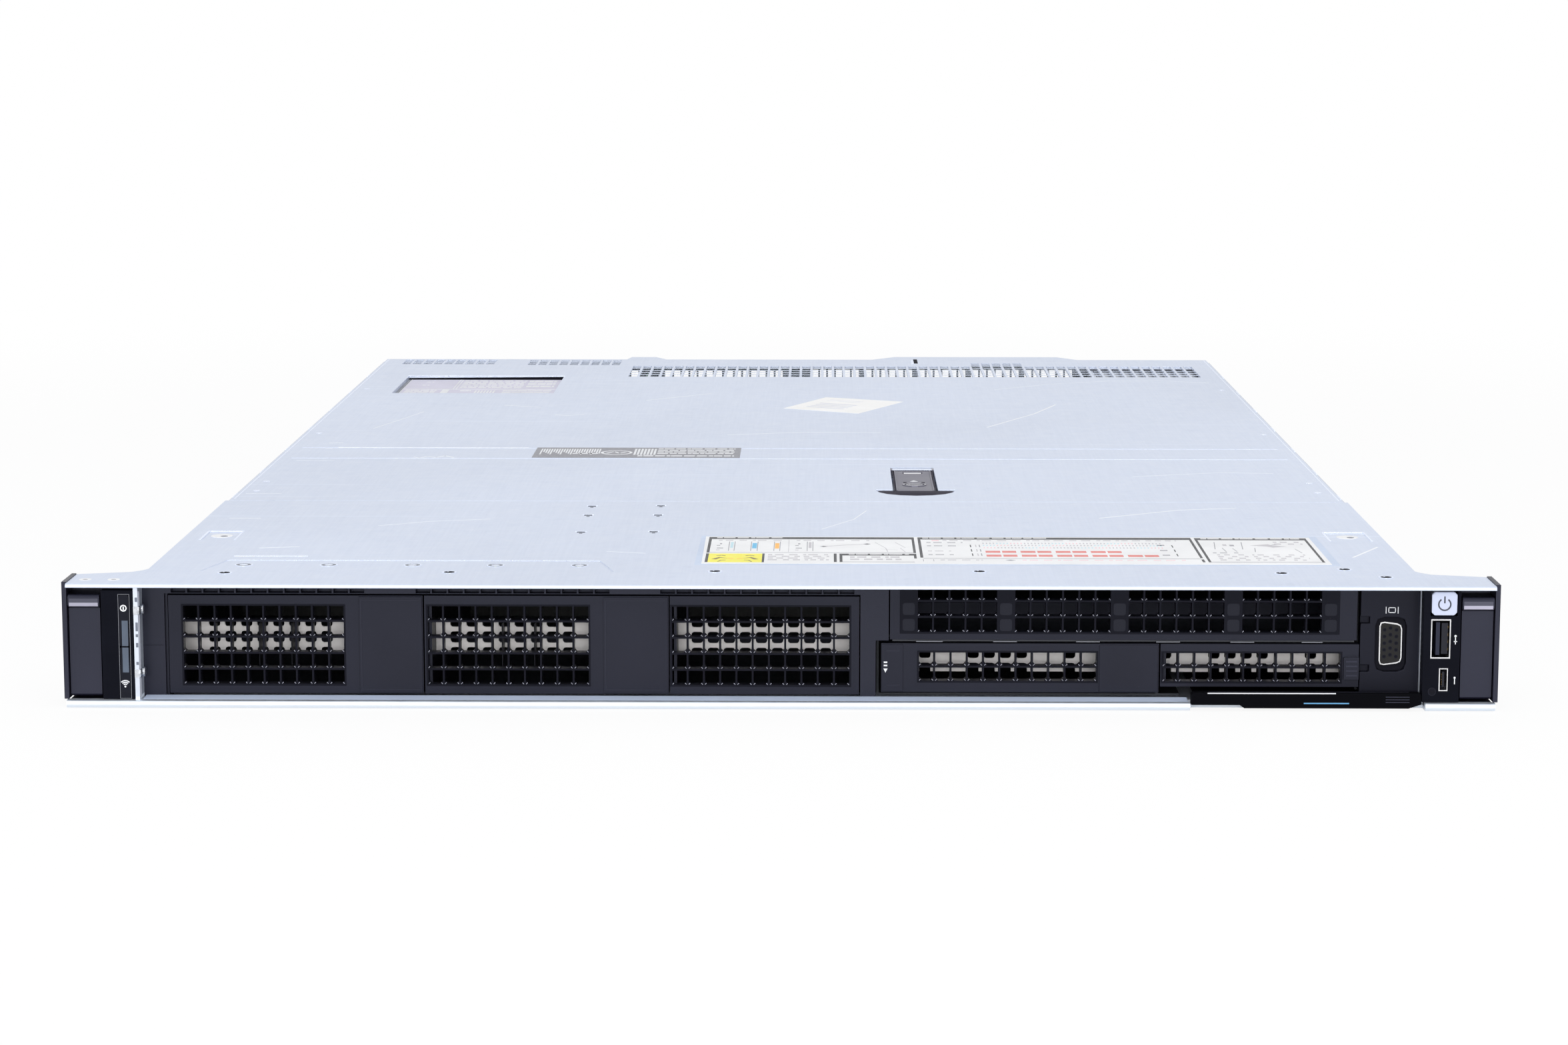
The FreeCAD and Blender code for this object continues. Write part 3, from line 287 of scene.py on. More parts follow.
def add_bump(tree, shader, height, distance, strength=0.5):
    node = tree.nodes.new("ShaderNodeBump")
    node.inputs["Distance"].default_value = distance
    node.inputs["Strength"].default_value = strength
    tree.links.new(height, node.inputs["Height"])
    tree.links.new(node.outputs["Normal"], shader.inputs["Normal"])


def low_front(tree, depth, height):
    """1 on what lies low at the front, up to a depth and a height in millimetres, else 0."""
    coords = tree.nodes.new("ShaderNodeTexCoord")
    split = tree.nodes.new("ShaderNodeSeparateXYZ")
    tree.links.new(coords.outputs["Object"], split.inputs["Vector"])
    near = remap(tree, split.outputs["Y"], 1.0, 0.0, FRONT + depth / 1000.0,
                 FRONT + (depth + 0.5) / 1000.0)
    low = remap(tree, split.outputs["Z"], 1.0, 0.0, height / 1000.0, (height + 0.3) / 1000.0)
    return combined(tree, "MULTIPLY", near, low)


def sheet_metal(name, shade, metallic=0.55, rough=(0.34, 0.46), scratches=0.35, painted_hem_light=False):
    """Zinc-plated sheet: rolled grain, faint clouds, handling marks and thin scratches.

    When the hem flag is set, the folded front edge gets a painted highlight, a pale and more
    metallic colour, and the matt strip behind it gets a pale colour as painted light where it lies
    in shade."""
    material, tree, shader = blank_material(name)
    clouds = stretched_noise(tree, (7.0, 5.0, 7.0), 4.0)
    grain = stretched_noise(tree, (1100.0, 26.0, 900.0), 2.0)
    spots = stretched_noise(tree, (150.0, 130.0, 150.0), 5.0, roughness=0.7)
    base = ramp(tree, clouds, ((0.28, scaled(shade, 0.955)), (0.5, shade),
                               (0.74, scaled(shade, 1.03))))
    lines = ramp(tree, grain, ((0.3, (0.955, 0.958, 0.965)), (0.7, WHITE)))
    base = blend_colours(tree, 1.0, base, lines, "MULTIPLY")
    marks = ramp(tree, spots, ((0.62, BLACK), (0.76, WHITE)))
    base = blend_colours(tree, marks, base, scaled(shade, 0.93))
    for turn, along, across in ((0.35, 2.2, 260.0), (-0.6, 3.0, 230.0), (1.2, 2.6, 300.0)):
        streak = stretched_noise(tree, (along, across, 3.0), 1.0, turn)
        thin = ramp(tree, streak, ((0.735, BLACK), (0.77, (scratches,) * 3)))
        base = blend_colours(tree, thin, base, scaled(shade, 1.22))
    if painted_hem_light:
        # Painted light: a pale, more metallic painted highlight on the front edge, and a pale
        # colour on the matt strip behind it.
        edge = low_front(tree, 2.4, 3.4)
        strip = low_front(tree, 12.4, 3.4)
        base = blend_colours(tree, strip, base, (0.86, 0.92, 1.0))
        base = blend_colours(tree, edge, base, (0.76, 0.82, 0.9))
        for socket, plain, matt, edge_highlight in (("Metallic", metallic, 0.05, 0.75),
                                               ("Specular IOR Level", 0.5, 0.05, 0.4)):
            value = combined(tree, "ADD", remap(tree, strip, plain, matt, 0.0, 1.0),
                             remap(tree, edge, 0.0, edge_highlight, 0.0, 1.0))
            tree.links.new(value, shader.inputs[socket])
    else:
        shader.inputs["Metallic"].default_value = metallic
    surface(tree, shader, base, spots, rough)
    shader.inputs["IOR"].default_value = 1.6
    add_bump(tree, shader, grain, 0.00002, 0.35)
    return material


COOL = (0.76, 0.8, 1.0)


def moulded(name, shade, rough=(0.36, 0.5), texture=2600.0, depth=0.00003, specular=0.5, tint=COOL):
    """Moulded plastic: fine spark texture, dust and slight handling gloss."""
    material, tree, shader = blank_material(name)
    spark = stretched_noise(tree, (texture,) * 3, 2.0)
    cloud = stretched_noise(tree, (24.0,) * 3, 4.0)
    dust = stretched_noise(tree, (420.0,) * 3, 5.0, roughness=0.75)
    base = clouded(tree, cloud, shade, 0.86, 1.16)
    specks = ramp(tree, dust, ((0.68, BLACK), (0.82, (0.07, 0.07, 0.07))))
    base = blend_colours(tree, specks, base, (0.26, 0.26, 0.30))
    surface(tree, shader, base, cloud, rough)
    shader.inputs["Specular IOR Level"].default_value = specular
    shader.inputs["Specular Tint"].default_value = (*tint, 1.0)
    add_bump(tree, shader, spark, depth, 0.45)
    return material


def gloss(name, shade, rough=(0.08, 0.2), coat=0.4, specular=0.5):
    """Polished plastic with faint wiping marks."""
    material, tree, shader = blank_material(name)
    wipe = stretched_noise(tree, (60.0, 60.0, 900.0), 3.0, 0.4)
    cloud = stretched_noise(tree, (90.0,) * 3, 4.0)
    surface(tree, shader, clouded(tree, cloud, shade, 0.85, 1.2), wipe, rough)
    shader.inputs["Specular IOR Level"].default_value = specular
    shader.inputs["Specular Tint"].default_value = (*COOL, 1.0)
    shader.inputs["Coat Weight"].default_value = coat
    shader.inputs["Coat Roughness"].default_value = 0.08
    return material


def plated(name, shade, rough=(0.16, 0.3), metallic=1.0):
    """Bright plated metal with drawn grain."""
    material, tree, shader = blank_material(name)
    grain = stretched_noise(tree, (700.0, 90.0, 700.0), 3.0)
    cloud = stretched_noise(tree, (120.0,) * 3, 4.0)
    surface(tree, shader, clouded(tree, cloud, shade, 0.88, 1.06), grain, rough)
    shader.inputs["Metallic"].default_value = metallic
    add_bump(tree, shader, grain, 0.000015, 0.3)
    return material


def printed(name, shade, rough=(0.42, 0.6)):
    """Label stock or print: slightly uneven ink on a smooth film."""
    material, tree, shader = blank_material(name)
    fibre = stretched_noise(tree, (900.0,) * 3, 4.0)
    cloud = stretched_noise(tree, (55.0,) * 3, 3.0)
    surface(tree, shader, clouded(tree, cloud, shade, 0.94, 1.03), fibre, rough)
    add_bump(tree, shader, fibre, 0.00001, 0.3)
    return material


def circuit(name, shade):
    """Solder mask with fine tracks that show as lighter lines."""
    material, tree, shader = blank_material(name)
    coords = tree.nodes.new("ShaderNodeTexCoord")
    tracks = tree.nodes.new("ShaderNodeTexBrick")
    tracks.inputs["Scale"].default_value = 150.0
    tracks.inputs["Mortar Size"].default_value = 0.05
    for part, factor in (("Color1", 1.0), ("Color2", 0.8), ("Mortar", 1.9)):
        tracks.inputs[part].default_value = (*scaled(shade, factor), 1.0)
    tree.links.new(coords.outputs["Object"], tracks.inputs["Vector"])
    cloud = stretched_noise(tree, (300.0,) * 3, 4.0)
    base = blend_colours(tree, 0.25, tracks.outputs["Color"], clouded(tree, cloud, shade, 0.6, 1.3))
    surface(tree, shader, base, cloud, (0.3, 0.42))
    return material


def build_finishes(hues):
    """Every material of the server, by name."""
    return {
        "cover_sheet": sheet_metal("plated_cover_sheet", hues.sheet),
        # The chassis sheet has a painted highlight on its front hem and painted light on the strip
        # behind it.
        "chassis_sheet": sheet_metal("plated_chassis_sheet", hues.chassis, 0.6, (0.3, 0.44), 0.2,
                                     True),
        "ear_plastic": moulded("ear_black_plastic", hues.ear, (0.34, 0.46), specular=0.44),
        # Painted highlight: lighter copies of the ear plastic for the lit lower part of the latch
        # caps' lips.
        "lip_painted_highlight": moulded("cap_lip_sheen", (0.38, 0.37, 0.45), (0.34, 0.46), specular=0.44),
        "lip_painted_soft_highlight": moulded("cap_lip_soft", (0.062, 0.062, 0.082), (0.34, 0.46), specular=0.44),
        "bay_plastic": moulded("bay_dark_plastic", hues.bay, (0.36, 0.48), 2200.0, 0.00004, 0.33),
        "rib_plastic": moulded("grille_rib_plastic", scaled(hues.bay, 0.85), (0.32, 0.44),
                               specular=0.28),
        "socket_plastic": moulded("socket_panel_plastic", scaled(hues.bay, 0.66), (0.4, 0.5),
                                  specular=0.2),
        "black_plastic": moulded("inner_black_plastic", (0.010, 0.010, 0.012), (0.45, 0.6),
                                 specular=0.3),
        "panel_gloss": gloss("control_panel_gloss", (0.0028, 0.0031, 0.0058), (0.12, 0.22), 0.0,
                             0.1),
        "strip_gloss": gloss("strip_button_gloss", (0.006, 0.0065, 0.010), (0.14, 0.24), 0.0, 0.2),
        "light_bar": gloss("light_bar_lens", linear(78, 88, 102), (0.12, 0.24), 0.2),
        # Painted shade: a darker copy of the grille plastic for the rib fronts, chamfers and closed
        # cells.
        "rib_painted_shade": moulded("grille_rib_front", (0.0046, 0.0046, 0.0078), (0.34, 0.46), 2600.0,
                            0.00001, 0.11),
        # Painted shade: a darker copy of the grille plastic for the pockets of the filler's closed
        # columns.
        "pocket_painted_shade": moulded("shallow_pocket", (0.0062, 0.0062, 0.0098), (0.4, 0.5), 2600.0, 0.00001,
                          0.24),
        # Painted highlight for the glints on the grille chamfers.
        "rib_glint": printed("grille_corner_edge", linear(176, 178, 192)),
        "scratch": printed("scratch_mark", linear(246, 249, 254)),
        "sticker_white": printed("sticker_paper", (0.99, 0.99, 0.975)),
        # Painted shade: the drive cage's zinc drawn dark, as it lies in shade inside the bay.
        "cage_sheet": sheet_metal("drive_cage_sheet", linear(58, 60, 66), 0.6, (0.4, 0.5), 0.1),
        # Painted shade: the backplane's green board drawn nearly black, as it lies in shade behind
        # the grilles.
        "dark_board": circuit("drive_backplane_board", linear(10, 16, 14)),
        "tongue_grey": moulded("socket_tongue_grey", linear(28, 30, 44), (0.3, 0.42), 3000.0,
                               0.00001, 0.3),
        "core_grey": moulded("socket_core_grey", (0.010, 0.0095, 0.010), (0.4, 0.5), specular=0.2,
                             tint=WHITE),
        "wall_grey": printed("wall_end_zinc", linear(134, 137, 148)),
        # Painted light: a pale flat colour for the apron strip, which lies in shade behind the
        # front lip.
        "apron_painted_light": printed("apron_zinc", linear(206, 219, 242), (0.5, 0.62)),
        "key_satin": moulded("power_key_satin", hues.key, (0.3, 0.42), 3200.0, 0.00001),
        "key_dark": printed("power_mark_dark", linear(58, 62, 76)),
        "white_print": printed("white_print", linear(232, 234, 238)),
        # Grey print, also used for painted glints in the bay seam and a painted highlight round the
        # left control strip.
        "grey_print": printed("grey_print", linear(120, 122, 130)),
        "shell_bright": plated("socket_shell_plating", linear(222, 222, 224)),
        "pin_gold": plated("contact_gold", linear(214, 176, 98), (0.2, 0.32)),
        "fastener": plated("fastener_plating", linear(205, 208, 214), (0.2, 0.34)),
        "screen": plated("blank_screen_plating", hues.screen, (0.34, 0.5), 0.05),
        "tag_satin": moulded("tag_black_satin", (0.0022, 0.0022, 0.003), (0.5, 0.6), 3000.0,
                             0.00001, 0.03),
        "tag_line": printed("tag_blue_line", linear(96, 160, 206)),
        "lever": moulded("latch_lever_finish", linear(78, 76, 94), (0.32, 0.46), 3000.0, 0.00001,
                         0.4),
        # Black plastic, also used as painted shade in the latch's finger recess and gaps.
        "lever_black_and_shade": moulded("latch_black", (0.030, 0.027, 0.042), (0.5, 0.6), 3000.0, 0.00001,
                               0.03),
        "lock": plated("latch_lock_plating", linear(128, 128, 140), (0.24, 0.38)),
        "paper": printed("label_paper", hues.paper),
        "ink": printed("label_ink", hues.ink),
        "faint_ink": printed("label_faint_ink", linear(196, 194, 200)),
        "grey_ink": printed("label_grey_ink", linear(160, 160, 168)),
        "dark_label": printed("strip_label_stock", hues.dark_label, (0.32, 0.48)),
        "window_label": printed("window_label_stock", linear(206, 204, 224), (0.32, 0.48)),
        "yellow_print": printed("label_yellow", linear(248, 240, 92)),
        "olive_print": printed("label_olive", linear(132, 116, 76)),
        "salmon_print": printed("label_salmon", linear(226, 128, 122)),
        "pink_print": printed("label_pink", linear(242, 206, 212)),
        "cyan_print": printed("label_cyan", linear(196, 226, 236)),
        "blue_print": printed("label_blue", linear(104, 190, 232)),
        "orange_print": printed("label_orange", linear(252, 188, 92)),
        "sticker_mark": printed("sticker_faint_mark", linear(226, 228, 238)),
        # Painted shade: a slightly darker border round the service label.
        "recess_painted_shade": printed("label_recess_tint", linear(198, 211, 233)),
        "mark_shadow": sheet_metal("mark_shadow_sheet", linear(104, 110, 124), 0.3),
        # Dark colour for real holes and slots, and also painted shade in recesses such as the
        # window's far edge and the display socket's recess.
        "dark_hole": moulded("dark_hole", (0.010, 0.010, 0.014), (0.6, 0.75), specular=0.05),
        # Bright metal of small parts, and also painted highlights on edges, rims and seams.
        "sheet_bright_and_highlight": sheet_metal("burnished_sheet", scaled(hues.sheet, 1.2), 0.6, (0.22, 0.32),
                                    0.1),
        "board": circuit("circuit_board", hues.board),
        "cooler": plated("cooler_aluminium", linear(206, 208, 212), (0.28, 0.42)),
        "supply_case": sheet_metal("supply_case_sheet", linear(176, 180, 186), 0.75, (0.28, 0.42),
                                   0.15),
        "release_tab": moulded("release_tab_orange", hues.release, (0.34, 0.46), tint=WHITE),
        "blue_lens": gloss("rear_button_lens", linear(58, 92, 160), (0.14, 0.24)),
        "green_lens": gloss("lamp_lens_green", linear(110, 172, 112), (0.12, 0.2)),
    }


FINISH = {}


# ---- mesh drafting ------------------------------------------------------------
class Draft:
    """Faces of one piece, drawn in millimetres; each form has its own finish number."""

    def __init__(self):
        self.mesh = bmesh.new()

    def _face(self, corners, finish):
        self.mesh.faces.new(corners).material_index = finish

    def solid(self, lower, upper, finish=0):
        """Closed form between two loops of points with the same count."""
        low = [self.mesh.verts.new(p) for p in lower]
        high = [self.mesh.verts.new(p) for p in upper]
        self._face(low[::-1], finish)
        self._face(high, finish)
        for i in range(len(low)):
            j = (i + 1) % len(low)
            self._face((low[i], low[j], high[j], high[i]), finish)

    def plan(self, outline, z0, z1, finish=0):
        """Outline of (across, depth) points, raised."""
        self.solid(*([place(x, d, z) for x, d in outline] for z in (z0, z1)), finish)

    def face_on(self, outline, d0, d1, finish=0):
        """Outline of (across, height) points, drawn back."""
        self.solid(*([place(x, d, z) for x, z in outline] for d in (d0, d1)), finish)

    def side_on(self, outline, x0, x1, finish=0):
        """Outline of (depth, height) points, drawn across."""
        self.solid(*([place(x, d, z) for d, z in outline] for x in (x0, x1)), finish)

    def block(self, x0, x1, d0, d1, z0, z1, finish=0):
        self.plan(((x0, d0), (x1, d0), (x1, d1), (x0, d1)), z0, z1, finish)

    def proud(self, face, x0, x1, z0, z1, out, finish=0, back=0.2):
        """Block that stands out from an upright face and reaches back into it."""
        self.block(x0, x1, face - out, face + back, z0, z1, finish)

    def band(self, to_point, centre, outer, inner, low, high, finish=0, start=0.0, sweep=360.0,
             steps=24):
        """Ring or part of one; to_point turns (u, v, height) into a point."""
        whole = sweep >= 359.9
        count = steps if whole else steps + 1
        loops = []
        for radius, level in ((outer, low), (outer, high), (inner, high), (inner, low)):
            loop = []
            for i in range(count):
                angle = math.radians(start + sweep * i / steps)
                u = centre[0] + radius * math.cos(angle)
                v = centre[1] + radius * math.sin(angle)
                loop.append(self.mesh.verts.new(to_point(u, v, level)))
            loops.append(loop)
        spans = count if whole else count - 1
        for a in range(4):
            b = (a + 1) % 4
            for i in range(spans):
                j = (i + 1) % count
                self._face((loops[a][i], loops[a][j], loops[b][j], loops[b][i]), finish)
        if not whole:
            self._face([loop[0] for loop in loops], finish)
            self._face([loop[-1] for loop in loops][::-1], finish)

    def top_ring(self, x, depth, outer, inner, z0, z1, finish=0, **more):
        self.band(place, (x, depth), outer, inner, z0, z1, finish, **more)

    def front_ring(self, x, z, outer, inner, d0, d1, finish=0, **more):
        self.band(lambda u, v, h: place(u, h, v), (x, z), outer, inner, d0, d1, finish, **more)

    def disc_up(self, x, depth, radius, z0, z1, finish=0, steps=20):
        self.plan(round_outline(x, depth, radius, steps), z0, z1, finish)

    def disc_on(self, x, z, radius, d0, d1, finish=0, steps=16):
        self.face_on(round_outline(x, z, radius, steps), d0, d1, finish)

    def line_up(self, points, width, z0, z1, finish=0):
        """Thin line on a level face, through (across, depth) points."""
        for (xa, da), (xb, db) in zip(points, points[1:]):
            run = math.hypot(xb - xa, db - da)
            sx, sd = (da - db) / run * width / 2, (xb - xa) / run * width / 2
            self.plan(((xa - sx, da - sd), (xb - sx, db - sd), (xb + sx, db + sd),
                       (xa + sx, da + sd)),
                      z0, z1, finish)

    def dome(self, base, direction, radius, height, finish=0, steps=16, rings=3):
        """Shallow round head on a flat base point, standing along a direction."""
        axis = Vector(direction).normalized()
        side = axis.orthogonal().normalized()
        other = axis.cross(side)
        loops = []
        for k in range(rings):
            lift = math.radians(90.0 * k / rings)
            r = radius * math.cos(lift) / 1000.0
            h = height * math.sin(lift) / 1000.0
            loop = []
            for i in range(steps):
                angle = 2 * math.pi * i / steps
                spoke = side * math.cos(angle) + other * math.sin(angle)
                loop.append(self.mesh.verts.new(base + axis * h + spoke * r))
            loops.append(loop)
        tip = self.mesh.verts.new(base + axis * height / 1000.0)
        for lower, upper in zip(loops, loops[1:]):
            for i in range(steps):
                j = (i + 1) % steps
                self._face((lower[i], lower[j], upper[j], upper[i]), finish)
        for i in range(steps):
            self._face((loops[-1][i], loops[-1][(i + 1) % steps], tip), finish)
        self._face(loops[0][::-1], finish)

    def piece(self, name, finishes, slot, edge=0.0):
        """Makes the object, gives it its finishes and lets it ride with the body of its node."""
        bmesh.ops.recalc_face_normals(self.mesh, faces=self.mesh.faces)
        data = bpy.data.meshes.new(name)
        self.mesh.to_mesh(data)
        self.mesh.free()
        obj = bpy.data.objects.new(name, data)
        bpy.context.scene.collection.objects.link(obj)
        for finish in finishes:
            data.materials.append(FINISH[finish])
        if edge > 0:
            soften(obj, edge)
        body = body_of_node(slot)
        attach(obj, body)
        return obj


def round_outline(x, y, radius, steps):
    turns = [2 * math.pi * i / steps for i in range(steps)]
    return [(x + radius * math.cos(turn), y + radius * math.sin(turn)) for turn in turns]


def rounded_box(a, b, low, high, radius):
    """Outline of a rectangle with rounded corners."""
    points = []
    for cx, cz, start in ((b - radius, low + radius, -90), (b - radius, high - radius, 0),
                          (a + radius, high - radius, 90), (a + radius, low + radius, 180)):
        for k in range(5):
            angle = math.radians(start + 22.5 * k)
            points.append((cx + radius * math.cos(angle), cz + radius * math.sin(angle)))
    return points


def soften(obj, width, weld=False):
    """Small rounded edges, so that every edge catches some light."""
    if weld:
        joined = obj.modifiers.new("joined corners", "WELD")
        joined.merge_threshold = 0.000002
    bevel = obj.modifiers.new("soft edges", "BEVEL")
    bevel.width = width
    bevel.segments = 2
    bevel.limit_method = "ANGLE"
    bevel.angle_limit = math.radians(32)
    bevel.use_clamp_overlap = True
    normals = obj.modifiers.new("even shading", "WEIGHTED_NORMAL")
    normals.keep_sharp = True


# Finish and kind of edge for every CAD node.
NODE_FINISH = {}
for finish, edge, nodes in (
        ("chassis_sheet", "sheet", ["chassis_base", "rear_wall"]),
        ("chassis_sheet", "rib", ["slot_covers", "ocp_cover"]),
        ("cover_sheet", "sheet", ["front_top_panel", "top_cover"]),
        ("ear_plastic", "plastic", ["rack_ear_left", "rack_ear_right", "slam_latch_left",
                                    "slam_latch_right"]),
        ("panel_gloss", "plastic", ["left_control_panel", "right_control_panel"]),
        ("strip_gloss", "rib", ["id_button", "wireless_button"]),
        ("key_satin", "plastic", ["power_button"]),
        ("shell_bright", "rib", ["usb_a_port", "micro_usb_port", "front_vga_connector",
                                 "rear_network_ports", "rear_usb_ports", "rear_vga_connector"]),
        ("fastener", "rib", ["ear_rivets", "rail_studs"]),
        ("bay_plastic", "rib", ["bay_frame"]),
        ("rib_plastic", "rib", ["wide_upper_filler"] + numbered("drive_blank", 5)),
        ("screen", "rib", numbered("blank_screen", 5)),
        ("socket_plastic", "plastic", ["vga_panel"]),
        ("tag_satin", "plastic", ["info_tag"]),
        ("cage_sheet", "rib", ["drive_cage"]),
        ("dark_board", "rib", ["drive_backplane"]),
        ("lever", "plastic", ["latch_lever"]),
        ("lock", "rib", ["latch_lock"]),
        ("black_plastic", "plastic", ["fan_housings", "air_shroud"]),
        ("black_plastic", "rib", numbered("fan_rotor", 7)),
        ("board", "rib", ["system_board", "memory_modules", "pcie_riser"]),
        ("cooler", "rib", numbered("cpu_heatsink", 2)),
        ("blue_lens", "plastic", ["rear_id_button"]),
        ("supply_case", "plastic", numbered("power_supply", 2)),
        ("release_tab", "plastic", numbered("psu_latch", 2))):
    for node in nodes:
        NODE_FINISH[node] = (finish, edge)


# ---- operators ------------------------------------------------------------------
class Step:
    """Builds one group of pieces when its operator runs."""

    def execute(self, context):
        self.build(context.scene)
        return {"FINISHED"}


class SERVER_OT_finishes(Step, Operator):
    """Gives every CAD node its finish and soft edges"""
    bl_idname = "server.finishes"
    bl_label = "Finishes of the solids"

    def build(self, scene):
        FINISH.update(build_finishes(scene.rack_server_colours))
        sizes = scene.rack_server_sizes
        widths = {"sheet": sizes.sheet_edge, "plastic": sizes.plastic_edge, "rib": sizes.rib_edge}
        missing = sorted(set(frame["nodes"]) - set(NODE_FINISH))
        if missing:
            raise RuntimeError("no finish is named for " + ", ".join(missing))
        for name, obj in frame["nodes"].items():
            finish, edge = NODE_FINISH[name]
            if not obj.material_slots:
                raise RuntimeError("no material slot on " + name)
            for slot in obj.material_slots:
                slot.material = FINISH[finish]
            soften(obj, widths[edge], weld=True)


# ---- front top panel ------------------------------------------------------------
class SERVER_OT_panel_rivets(Step, Operator):
    """Ring rivets, dimples, slots and stamped marks in the front top panel, drawn with painted
    highlights and painted shadow rings
    """
    bl_idname = "server.panel_rivets"
    bl_label = "Marks of the front top panel"

    def build(self, scene):
        panel = box_mm("front_top_panel")
        mid, front, top = panel.cx, panel.d0, panel.z1
        low = top - SINK

        def slab(draft, x0, x1, d0, d1, rise, finish=0):
            draft.block(mid + x0, mid + x1, front + d0, front + d1, low, top + rise, finish)

        rings = Draft()
        # Each rivet: a painted highlight ring outside, a ring of painted shadow, and a bright
        # centre.
        for x in (-185.6, -156.2, -127.2, -98.5, -69.5):
            at = (mid + x, front + 39.5)
            rings.top_ring(*at, 3.2, 2.6, low, top + 0.08)
            rings.top_ring(*at, 2.6, 1.5, low, top + 0.05, 1)
            rings.disc_up(*at, 1.5, low, top + 0.05)
        rings.piece("panel_ring_rivets", ("sheet_bright_and_highlight", "mark_shadow"), "front_top_panel")
        dimples = Draft()
        for x, depth in ((-189.5, 23), (-113, 25), (-22.4, 28.0), (68.0, 28.8), (170.9, 26.5),
                         (205.2, 18.7), (193.4, 34.6)):
            x, depth = mid + x, front + depth
            # A painted highlight on the rim and a small painted highlight dot, round a dark centre.
            dimples.top_ring(x, depth, 2.6, 1.9, low, top + 0.08, steps=20)
            dimples.disc_up(x, depth, 1.85, low, top + 0.03, 1)
            dimples.disc_up(x - 0.5, depth + 1.0, 0.4, low, top + 0.05, steps=8)
        dimples.piece("panel_dimples", ("sheet_bright_and_highlight", "dark_hole"), "front_top_panel")
        slots = Draft()
        for x, depth in ((-74, 178), (-74, 155), (-74, 114),
                         (-47.7, 179.5), (-47.7, 155.6), (-47.5, 115)):
            slab(slots, x - 1.5, x + 1.5, depth - 0.9, depth + 0.9, 0.03, 1)
            # Painted highlight along the back edge of the tab.
            slab(slots, x - 2.1, x + 2.1, depth + 0.9, depth + 1.5, 0.1)
            slab(slots, x - 0.5, x + 0.7, depth - 3.4, depth - 2.2, 0.03, 1)
        slots.piece("panel_lanced_tabs", ("sheet_bright_and_highlight", "dark_hole"), "front_top_panel", 0.00005)
        pads = Draft()
        for a, b, near, far in ((-209.8, -198.0, 94.6, 114.3), (197.5, 211.7, 96.4, 116.4)):
            # Painted highlights along three edges of each pad.
            slab(pads, a - 0.7, b + 0.7, far, far + 1.2, 0.035)
            slab(pads, a - 0.9, a, near, far, 0.035)
            slab(pads, b, b + 0.7, near, far, 0.035)
            x, depth = mid + (a + b) / 2, front + (near + far) / 2
            pads.disc_up(x, depth, 4.0, top - 0.25, top - 0.12, 1)
            pads.disc_up(x + 1.0, depth - 1.0, 1.3, top - 0.25, top - 0.08, 2)
        pads.piece("panel_lift_pads", ("sheet_bright_and_highlight", "paper", "mark_shadow"), "front_top_panel")
        seam = Draft()
        # Painted highlight lines along the seams.
        slab(seam, -192.4, -63.2, 49.1, 50.1, 0.08)
        slab(seam, -192.0, -166.0, 57.7, 59.3, 0.06)
        seam.piece("panel_seam_lines", ("sheet_bright_and_highlight",), "front_top_panel")
        stamps = Draft()
        for x in (-234.2, -224.6):
            stamps.top_ring(mid + x, front + 8.6, 2.1, 0.9, low, top + 0.06, steps=18)
            stamps.disc_up(mid + x, front + 8.6, 0.9, low, top + 0.03, 1, steps=12)
        stamps.piece("ear_stamp_marks", ("paper", "grey_ink"), "front_top_panel")


SCRATCHES = {
    "front_top_panel": (
        ((-150.0, 128.0), (-132.0, 139.0), (-110.0, 145.0)), ((-208.0, 146.0), (-196.0, 146.0)),
        ((118.0, 150.0), (150.0, 171.0), (172.0, 176.0)),
        ((14.0, 122.0), (26.0, 146.0), (31.0, 168.0)),
        ((-186.0, 76.0), (-172.0, 79.0)), ((200.0, 60.0), (212.0, 83.0)),
        ((-62.0, 70.0), (-48.0, 66.0)),
    ),
    "top_cover": (
        ((-187.0, 412.2), (-178.7, 443.6), (-171.1, 473.7)),
        ((-109.2, 463.2), (-103.8, 460.7), (-96.1, 464.6)),
        ((-158.2, 317.6), (-155.6, 314.9), (-152.4, 319.2), (-148.4, 316.1), (-145.3, 321.8),
         (-141.1, 316.2)),
        ((98.0, 566.0), (126.0, 590.0), (156.0, 604.0), (184.0, 606.0), (206.0, 596.0)),
        ((-28.0, 392.0), (6.0, 402.0), (40.0, 400.0)),
        ((88.0, 420.0), (112.0, 470.0), (124.0, 505.0)),
        ((-206.0, 306.0), (-190.0, 306.0)), ((-199.0, 344.0), (-196.0, 344.0)),
        ((-200.0, 362.0), (-194.0, 363.0)), ((-212.0, 210.0), (-198.0, 210.0)),
        ((-70.0, 520.0), (-40.0, 548.0)), ((-194.0, 348.0), (-112.0, 348.0)),
        ((140.0, 262.0), (176.0, 274.0), (198.0, 272.0)), ((-136.0, 500.0), (-118.0, 492.0)),
    ),
}


class SERVER_OT_scratches(Step, Operator):
    """Shallow bright scratches on the cover and on the front top panel"""
    bl_idname = "server.scratches"
    bl_label = "Scratches"

    def build(self, scene):
        for node, lines in SCRATCHES.items():
            top = box_mm(node).z1
            draft = Draft()
            for index, points in enumerate(lines):
                draft.line_up(points, 0.4 + 0.2 * (index % 3), top - 0.05, top + 0.02)
            draft.piece(node + "_scratches", ("scratch",), node)


